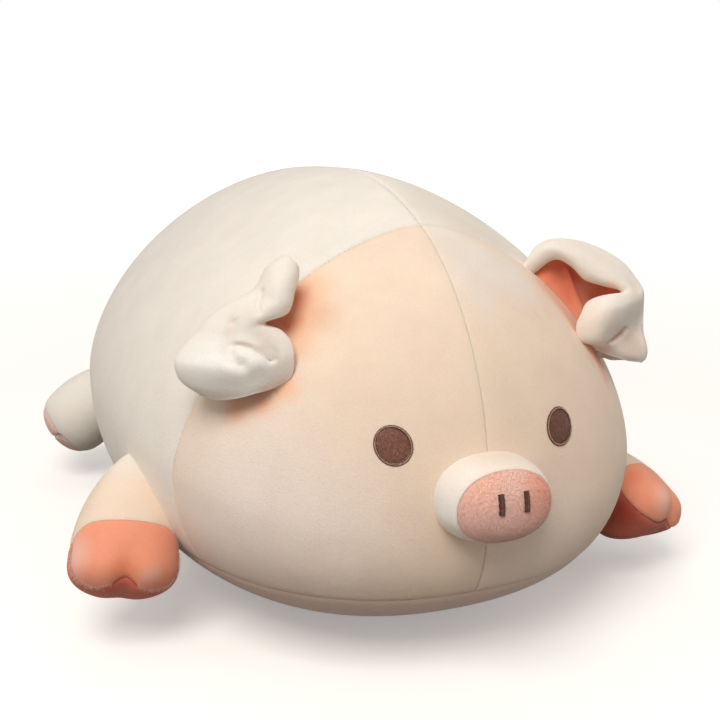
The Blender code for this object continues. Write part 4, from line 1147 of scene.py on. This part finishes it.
# %% Ear ribs, in mm: along the base from crown to cheek, out of the head, forward
EAR_RIBS = {
    "left": [
        [(-30, -9, -1), (-31.5, -9.5, 0), (-33.5, -9.5, 2), (-35.5, -8.5, 3.5),
         (-36, -7.5, 5.5), (-34.5, -6.5, 6), (-32, -6.5, 5.5), (-28.5, -6.5, 2.5)],
        [(-25.5, -3, -1.5), (-32, 0.5, -3.5), (-38.5, 3.5, -2), (-41.5, 8, 1),
         (-40, 10.5, 6), (-37, 11.5, 9), (-32.5, 11.5, 8.5), (-28.5, 10, 5.5)],
        [(-14, -3, -2), (-20.5, 5.5, -8), (-28.5, 13, -8.5), (-35, 20, -4.5),
         (-34, 21.5, 2.5), (-30.5, 20.5, 9), (-25.5, 18.5, 10.5), (-20, 15, 7)],
        [(0, -2.5, -3.5), (-4.5, 9, -11), (-12.5, 19.5, -13), (-20.5, 31, -9.5),
         (-19.5, 30, 0.5), (-17.5, 27, 8.5), (-14.5, 22, 11.5), (-10, 16.5, 9)],
        [(12, -3, -2.5), (10.5, 11, -12), (5, 25.5, -15), (-2.5, 38.5, -9.5),
         (-2, 36, 1), (-2, 32.5, 8.5), (-1.5, 28, 11.5), (0, 22.5, 8)],
        [(21.5, -3, -2.5), (21.5, 9.5, -9), (17, 25, -11), (12, 39, -7),
         (11.5, 37, 2.5), (10, 35, 8.5), (9, 32, 10), (8, 28, 7)],
        [(25, -3.5, -1), (25, 9.5, -6.5), (22.5, 25, -8), (18, 38.5, -3.5),
         (17, 35.5, 7), (11.5, 31.5, 15), (3.5, 25, 19.5), (-1.5, 14, 15)],
        [(28, -3.5, -0.5), (28.5, 9, -3.5), (27.5, 23.5, -4.5), (23.5, 34.5, -1.5),
         (23, 32, 5.5), (14, 27, 20), (6, 18.5, 26.5), (0.5, 5.5, 20.5)],
        [(31.5, -2.5, 1), (34, 6.5, -2), (35, 17, -1), (35.5, 25.5, 2.5),
         (31, 23.5, 5.5), (20.5, 20.5, 19), (12, 12, 28.5), (5, -1, 23.5)],
        [(33, -3, 2.5), (37, 4, 0.5), (41.5, 13.5, 1), (44.5, 21.5, 4),
         (38.5, 19, 8), (27.5, 14, 15), (20, 5.5, 26.5), (13.5, -5.5, 23)],
        [(34, -3, 3.5), (39.5, 2.5, 2.5), (44.5, 10, 2.5), (49.5, 17.5, 4),
         (43.5, 13.5, 9.5), (35, 9, 14.5), (27.5, 4, 17.5), (21, -1.5, 16.5)],
        [(34.5, -3.5, 4), (39.5, 0.5, 3), (44, 6.5, 3.5), (50, 13, 4.5),
         (44.5, 9, 9), (38, 5.5, 13), (31, 1.5, 14.5), (25.5, -2, 14)]],
    "right": [
        [(-33, -3, 0), (-34.5, 2.5, 0), (-36.5, 10, 1.5), (-37, 16.5, 3.5),
         (-36.5, 19.5, 8), (-35.5, 19, 11.5), (-35.5, 15, 13.5), (-35, 9.5, 12.5)],
        [(-25, -3, -1), (-25, 5, -1.5), (-25.5, 14, -1.5), (-26, 20.5, 1),
         (-25.5, 23, 8), (-25, 21.5, 15), (-27, 17, 17.5), (-29, 9.5, 16)],
        [(-14, -3, -2), (-15, 7, -2), (-15, 14.5, -2), (-16.5, 20.5, 1.5),
         (-15.5, 23, 10), (-16, 22, 17.5), (-18.5, 16, 20), (-21.5, 8.5, 17)],
        [(-7, -3, -2.5), (-7.5, 9, -5), (-8.5, 16.5, -4.5), (-9, 21.5, 0),
         (-8, 22.5, 10), (-8.5, 20.5, 19), (-11.5, 14.5, 21.5), (-14, 6.5, 18)],
        [(0, -3, -3), (-1, 10.5, -9), (-0.5, 20, -9.5), (1, 25, -5),
         (0.5, 25, 6), (-1, 22.5, 15.5), (-4, 15.5, 20), (-8.5, 7, 17.5)],
        [(5.5, -2.5, -2.5), (7, 12, -11.5), (8.5, 21, -14), (12.5, 26.5, -11),
         (12, 26.5, 1.5), (8.5, 23.5, 11.5), (4, 18.5, 15), (-1, 10.5, 11)],
        [(9.5, -3, -2.5), (12.5, 12.5, -13), (16.5, 21, -16.5), (21, 26, -13),
         (19.5, 26, 0.5), (13.5, 22.5, 12), (6.5, 16, 19.5), (-1.5, 7.5, 19)],
        [(15, -3, -2), (20, 12.5, -13.5), (25.5, 22, -17.5), (31, 26.5, -15.5),
         (29, 26.5, 0), (21.5, 22, 14), (12, 14, 24.5), (2, 3.5, 26)],
        [(21.5, -3.5, -3), (29.5, 11.5, -13.5), (34, 21.5, -17), (39.5, 26, -15.5),
         (37.5, 26, 0), (31, 21, 15.5), (20, 12.5, 27.5), (9, 0.5, 30.5)],
        [(29.5, -5, -1.5), (36, 7.5, -9.5), (40.5, 16, -13), (45.5, 19.5, -12),
         (44.5, 17.5, 1), (37.5, 13, 14.5), (27.5, 6.5, 26.5), (18.5, -4, 30)],
        [(34, -5.5, 1), (39, 0.5, -3.5), (43, 7, -5.5), (46.5, 11, -3.5),
         (45.5, 8, 4.5), (41, 6, 14), (34, 3.5, 22.5), (25.5, -5, 24)]]}
print("ear ribs:", {side: len(ribs) for side, ribs in EAR_RIBS.items()})

# %% Ear surface
EAR_ROOT, RIB_COUNT, OUT_COUNT = 7 * MM, 120, 84
EAR_BASE = {side: (Vector((-hand * 0.57843, 0.29937, 0.75881)), Vector((-hand * 0.52629, -0.84768, -0.06675)),
                   Vector((hand * 0.62325, -0.43797, 0.64788))) for side, hand in SIDES}


def smooth_line(points, share):
    """A point on a Catmull-Rom curve, which passes through every given point."""
    spans = len(points) - 1
    place = min(share * spans, spans - 1e-9)
    i = int(place)
    t = place - i
    before, start, end, after = (points[min(max(k, 0), spans)] for k in (i - 1, i, i + 1, i + 2))
    return 0.5 * (2 * start + (end - before) * t + (2 * before - 5 * start + 4 * end - after) * t**2
                  + (3 * start - before - 3 * end + after) * t**3)


def ear_points(side):
    """Points of the outer cloth: rows along the ribs, columns from inside the head to the rim."""
    origin = joint_of("ear_" + side)
    up_base, forward, outwards = EAR_BASE[side]
    ribs = []
    for rib in EAR_RIBS[side]:
        line = [origin - up_base * (b * MM) + outwards * (n * MM) + forward * (c * MM) for b, n, c in rib]
        ribs.append([line[0] - outwards * EAR_ROOT] + line)
    columns = [[smooth_line(rib, j / OUT_COUNT) for j in range(OUT_COUNT + 1)] for rib in ribs]
    return [[smooth_line([column[j] for column in columns], i / RIB_COUNT)
             for j in range(OUT_COUNT + 1)] for i in range(RIB_COUNT + 1)]


print("points in an ear's cloth:", (RIB_COUNT + 1) * (OUT_COUNT + 1))

# %% Ear thickness
EAR_THICK, THINNEST, ROUNDING_PASSES, ROUNDING = 5 * MM, 0.3 * MM, 5, 0.6
CURL_SHARE, ROOM_SHARE, END_THINNING, END_FROM, END_TO = 0.7, 0.4, 0.8, 0.72, 0.95
FOLD_STEPS, RAY_START_MM = 3, 0.4


def fold_radius(before, here, after, inward):
    """How tightly the leaf curls towards its inside at a point; 1 m stands for not at all."""
    sag = ((before + after) / 2 - here).dot(inward)
    return (after - before).length_squared / (8 * sag) if sag > 1e-6 else 1.0


def leaf_thickness(grid, inwards):
    """How thick the ear may be at each point: less where it folds back on itself."""
    points = [point for row in grid for point in row]
    wide = OUT_COUNT + 1
    quads = [(i * wide + j, (i + 1) * wide + j, (i + 1) * wide + j + 1, i * wide + j + 1)
             for i in range(RIB_COUNT) for j in range(OUT_COUNT)]
    leaf = BVHTree.FromPolygons(points, quads)
    thick = np.full((RIB_COUNT + 1, wide), EAR_THICK)
    for i, row in enumerate(grid):
        for j, point in enumerate(row):
            inward = inwards[i][j]
            room = leaf.ray_cast(point + inward * RAY_START_MM * MM, inward, 4 * EAR_THICK)[3]
            before, after = max(j - FOLD_STEPS, 0), min(j + FOLD_STEPS, OUT_COUNT)
            first, last = max(i - FOLD_STEPS, 0), min(i + FOLD_STEPS, RIB_COUNT)
            curl = min(fold_radius(row[before], point, row[after], inward),
                       fold_radius(grid[first][j], point, grid[last][j], inward))
            end = 1 - END_THINNING * smooth_step(i / RIB_COUNT, END_FROM, END_TO)
            thick[i, j] = min(EAR_THICK * end, CURL_SHARE * curl, 1 if room is None else ROOM_SHARE * room)
    for _ in range(ROUNDING_PASSES):
        round_about = np.pad(thick, 1, mode="edge")
        near = [round_about[a:a + thick.shape[0], b:b + thick.shape[1]] for a in range(3) for b in range(3)]
        least = np.minimum(thick, np.min(near, axis=0))
        thick = least * (1 - ROUNDING) + np.mean(near, axis=0) * ROUNDING
    return np.maximum(thick, THINNEST)


# %% Ear cloths
RIM_ROUND, END_ROUND, END_START, FLATTEST = 0.09, 0.05, 0.004, 0.02


def edge_share(share, distance_share):
    """0 at the rim, 1 well inside, round in between."""
    inner = min(max(share / distance_share, 0), 1)
    return math.sqrt(1 - (1 - inner) ** 2)


def inward_lines(grid, hand):
    """The direction into the ear's cup at each point."""
    inwards = []
    for i, row in enumerate(grid):
        line = []
        for j in range(OUT_COUNT + 1):
            along = grid[min(i + 1, RIB_COUNT)][j] - grid[max(i - 1, 0)][j]
            out = row[min(j + 1, OUT_COUNT)] - row[max(j - 1, 0)]
            line.append(along.cross(out).normalized() * hand)
        inwards.append(line)
    return inwards


def ear_sheets(side, hand):
    """The two cloths of an ear as (back, lining), the second a thickness inside the first."""
    grid = ear_points(side)
    inwards = inward_lines(grid, hand)
    thickness = leaf_thickness(grid, inwards)
    sheets = []
    for sign in (-1, 1):
        sheet = bmesh.new()
        verts = []
        for i, row in enumerate(grid):
            line = []
            for j, point in enumerate(row):
                share = edge_share(1 - j / OUT_COUNT, RIM_ROUND)
                share *= edge_share(min(i, RIB_COUNT - i) / RIB_COUNT + END_START, END_ROUND)
                depth = thickness[i, j] / 2 * (1 + sign * max(share, FLATTEST))
                line.append(sheet.verts.new(point + inwards[i][j] * depth))
            verts.append(line)
        for i in range(RIB_COUNT):
            for j in range(OUT_COUNT):
                sheet.faces.new((verts[i][j], verts[i + 1][j], verts[i + 1][j + 1], verts[i][j + 1]))
        if sign * hand < 0:
            bmesh.ops.reverse_faces(sheet, faces=sheet.faces)
        sheet.normal_update()
        sheets.append(sheet)
    return sheets


# %% Creases and cream ends
PRESS_STEPS, PRESS_REACH = 8, 3
CREAM_CHEEK, CREAM_CROWN = (0.68, 0.74), (-0.06, -0.03)


def press(sheets, paths):
    """Each path of pixels dips the first sheet where it is seen, and a sheet below it follows."""
    tree = BVHTree.FromBMesh(sheets[0][0])
    marks = []
    for pixels, deep, wide in paths:
        spots = [seen(tree, start[0] + (end[0] - start[0]) * k / PRESS_STEPS,
                      start[1] + (end[1] - start[1]) * k / PRESS_STEPS)
                 for start, end in zip(pixels, pixels[1:]) for k in range(PRESS_STEPS)]
        marks.append(([spot for spot in spots if spot is not None], deep * MM, wide * MM))
    for made, below in sheets:
        moves = {}
        for vert in made.verts:
            dip = 0
            for line, deep, wide in marks:
                near = max(min((vert.co - spot).length for spot in line) - below, 0)
                if near < PRESS_REACH * wide:
                    dip += deep * math.exp(-((near / wide) ** 2))
            if dip:
                moves[vert] = vert.normal * (-dip if below else dip)
        for vert, move in moves.items():
            vert.co -= move
        made.normal_update()


def cream_ends(lining):
    """The back's cloth wraps over both ends of the ear, so the lining turns cream there."""
    layer = lining.verts.layers.float_color["dye"]
    for k, vert in enumerate(lining.verts):
        along = (k // (OUT_COUNT + 1)) / RIB_COUNT
        share = max(smooth_step(along, *CREAM_CHEEK), smooth_step(-along, *CREAM_CROWN))
        if share > vert[layer][3]:
            vert[layer] = (*CREAM, share)


# %% Ear creases, and cloth tone with painted light and shade: pixels, depth and width in mm; pixels, radius in mm, colour, strength
EAR_CREASES = {
    "left": [([(613, 341), (619, 336), (626, 329)], 2.5, 1.6)],
    "right": [([(260, 291), (257, 302), (258, 312)], 2.0, 2.0),
              ([(233, 343), (242, 344), (250, 346), (258, 350), (265, 354), (273, 361)], 3.0, 1.3),
              ([(231, 322), (229, 335), (227, 350), (231, 360), (242, 366)], 2.5, 3.2),
              ([(243, 356), (256, 362)], -1.5, 4.5)]}
LINING_RIDGES = {"left": [([(567, 270), (571, 284), (576, 298), (582, 313)], -2.2, 1.7)], "right": []}
# Cup glow is painted light: the coral lining in the left ear's cup, as if lit through its cloth. Fold and
# flap shades are painted shade along the creases.
EAR_WARM, CUP_GLOW = (0.94, 0.78, 0.66), (1.0, 0.27, 0.155)
FOLD_SHADE, FLAP_SHADE = (0.46, 0.34, 0.30), (0.80, 0.48, 0.36)
EAR_DYE_AND_LIGHT = {
    "left": {
        "back": dotted([(607, 343), (615, 337), (624, 331)], 2.6, FLAP_SHADE, 0.6) + [
            ((612, 286), 7, (0.95, 0.62, 0.40), 0.6), ((600, 350), 12, (0.90, 0.66, 0.54), 0.5),
            ((600, 322), 16, (1.0, 0.83, 0.72), 0.9), ((632, 345), 15, (1.0, 0.74, 0.60), 0.8),
            ((570, 252), 16, EAR_WARM, 0.5), ((600, 265), 18, EAR_WARM, 0.5),
            ((632, 290), 14, EAR_WARM, 0.5)],
        "lining": [((545, 275), 12, CUP_GLOW, 0.9), ((556, 272), 14, CUP_GLOW, 0.9),
                   ((572, 290), 16, CUP_GLOW, 0.9), ((585, 286), 9, (0.98, 0.50, 0.36), 0.8),
                   ((531, 267), 5, CREAM, 1.0)]},
    "right": {
        # Painted shade along the fold crease, above it, in the recess by the lobe and between tube and lobe;
        # the pale cream spots lower on the lobe are painted light that lifts its shade.
        "back": dotted([(233, 343), (242, 344), (250, 346), (258, 350), (265, 354), (271, 360)], 1.9,
                       FOLD_SHADE, 0.7)
        + dotted([(262, 345), (270, 350), (277, 356)], 5, (0.72, 0.62, 0.55), 0.35)
        + dotted([(232, 330), (230, 345), (233, 358)], 5, (0.84, 0.71, 0.66), 0.4) + [
            ((258, 332), 9, (0.70, 0.60, 0.53), 0.6), ((268, 344), 9, (0.66, 0.56, 0.49), 0.5),
            ((246, 322), 10, (0.80, 0.74, 0.69), 0.5), ((212, 362), 26, (1.0, 0.93, 0.87), 0.9),
            ((250, 375), 22, (1.0, 0.92, 0.85), 0.9)],
        "lining": []}}
print("ear creases:", {side: len(lines) for side, lines in EAR_CREASES.items()})

# %% Make the ears
EAR_CLOTH, EAR_FILL = 1 * MM, 0.5
for side, hand in SIDES:
    outer, lining = ear_sheets(side, hand)
    press([(outer, 0), (lining, EAR_THICK)], EAR_CREASES[side])
    press([(lining, 0)], LINING_RIDGES[side])
    for sheet, kind in ((outer, "back"), (lining, "lining")):
        dye(sheet, spots_on(BVHTree.FromBMesh(sheet), EAR_DYE_AND_LIGHT[side][kind]))
    cream_ends(lining)
    finish(f"ear_back_{side}_cloth", outer, "cream_plush", "ear_" + side,
           [f"ear_back_{side}", f"ear_wadding_{side}"], EAR_CLOTH)
    finish(f"ear_lining_{side}_cloth", lining, "coral_plush", "ear_" + side,
           [f"ear_lining_{side}"], EAR_CLOTH)
    print("ear", side, "made from", len(EAR_RIBS[side]), "ribs")
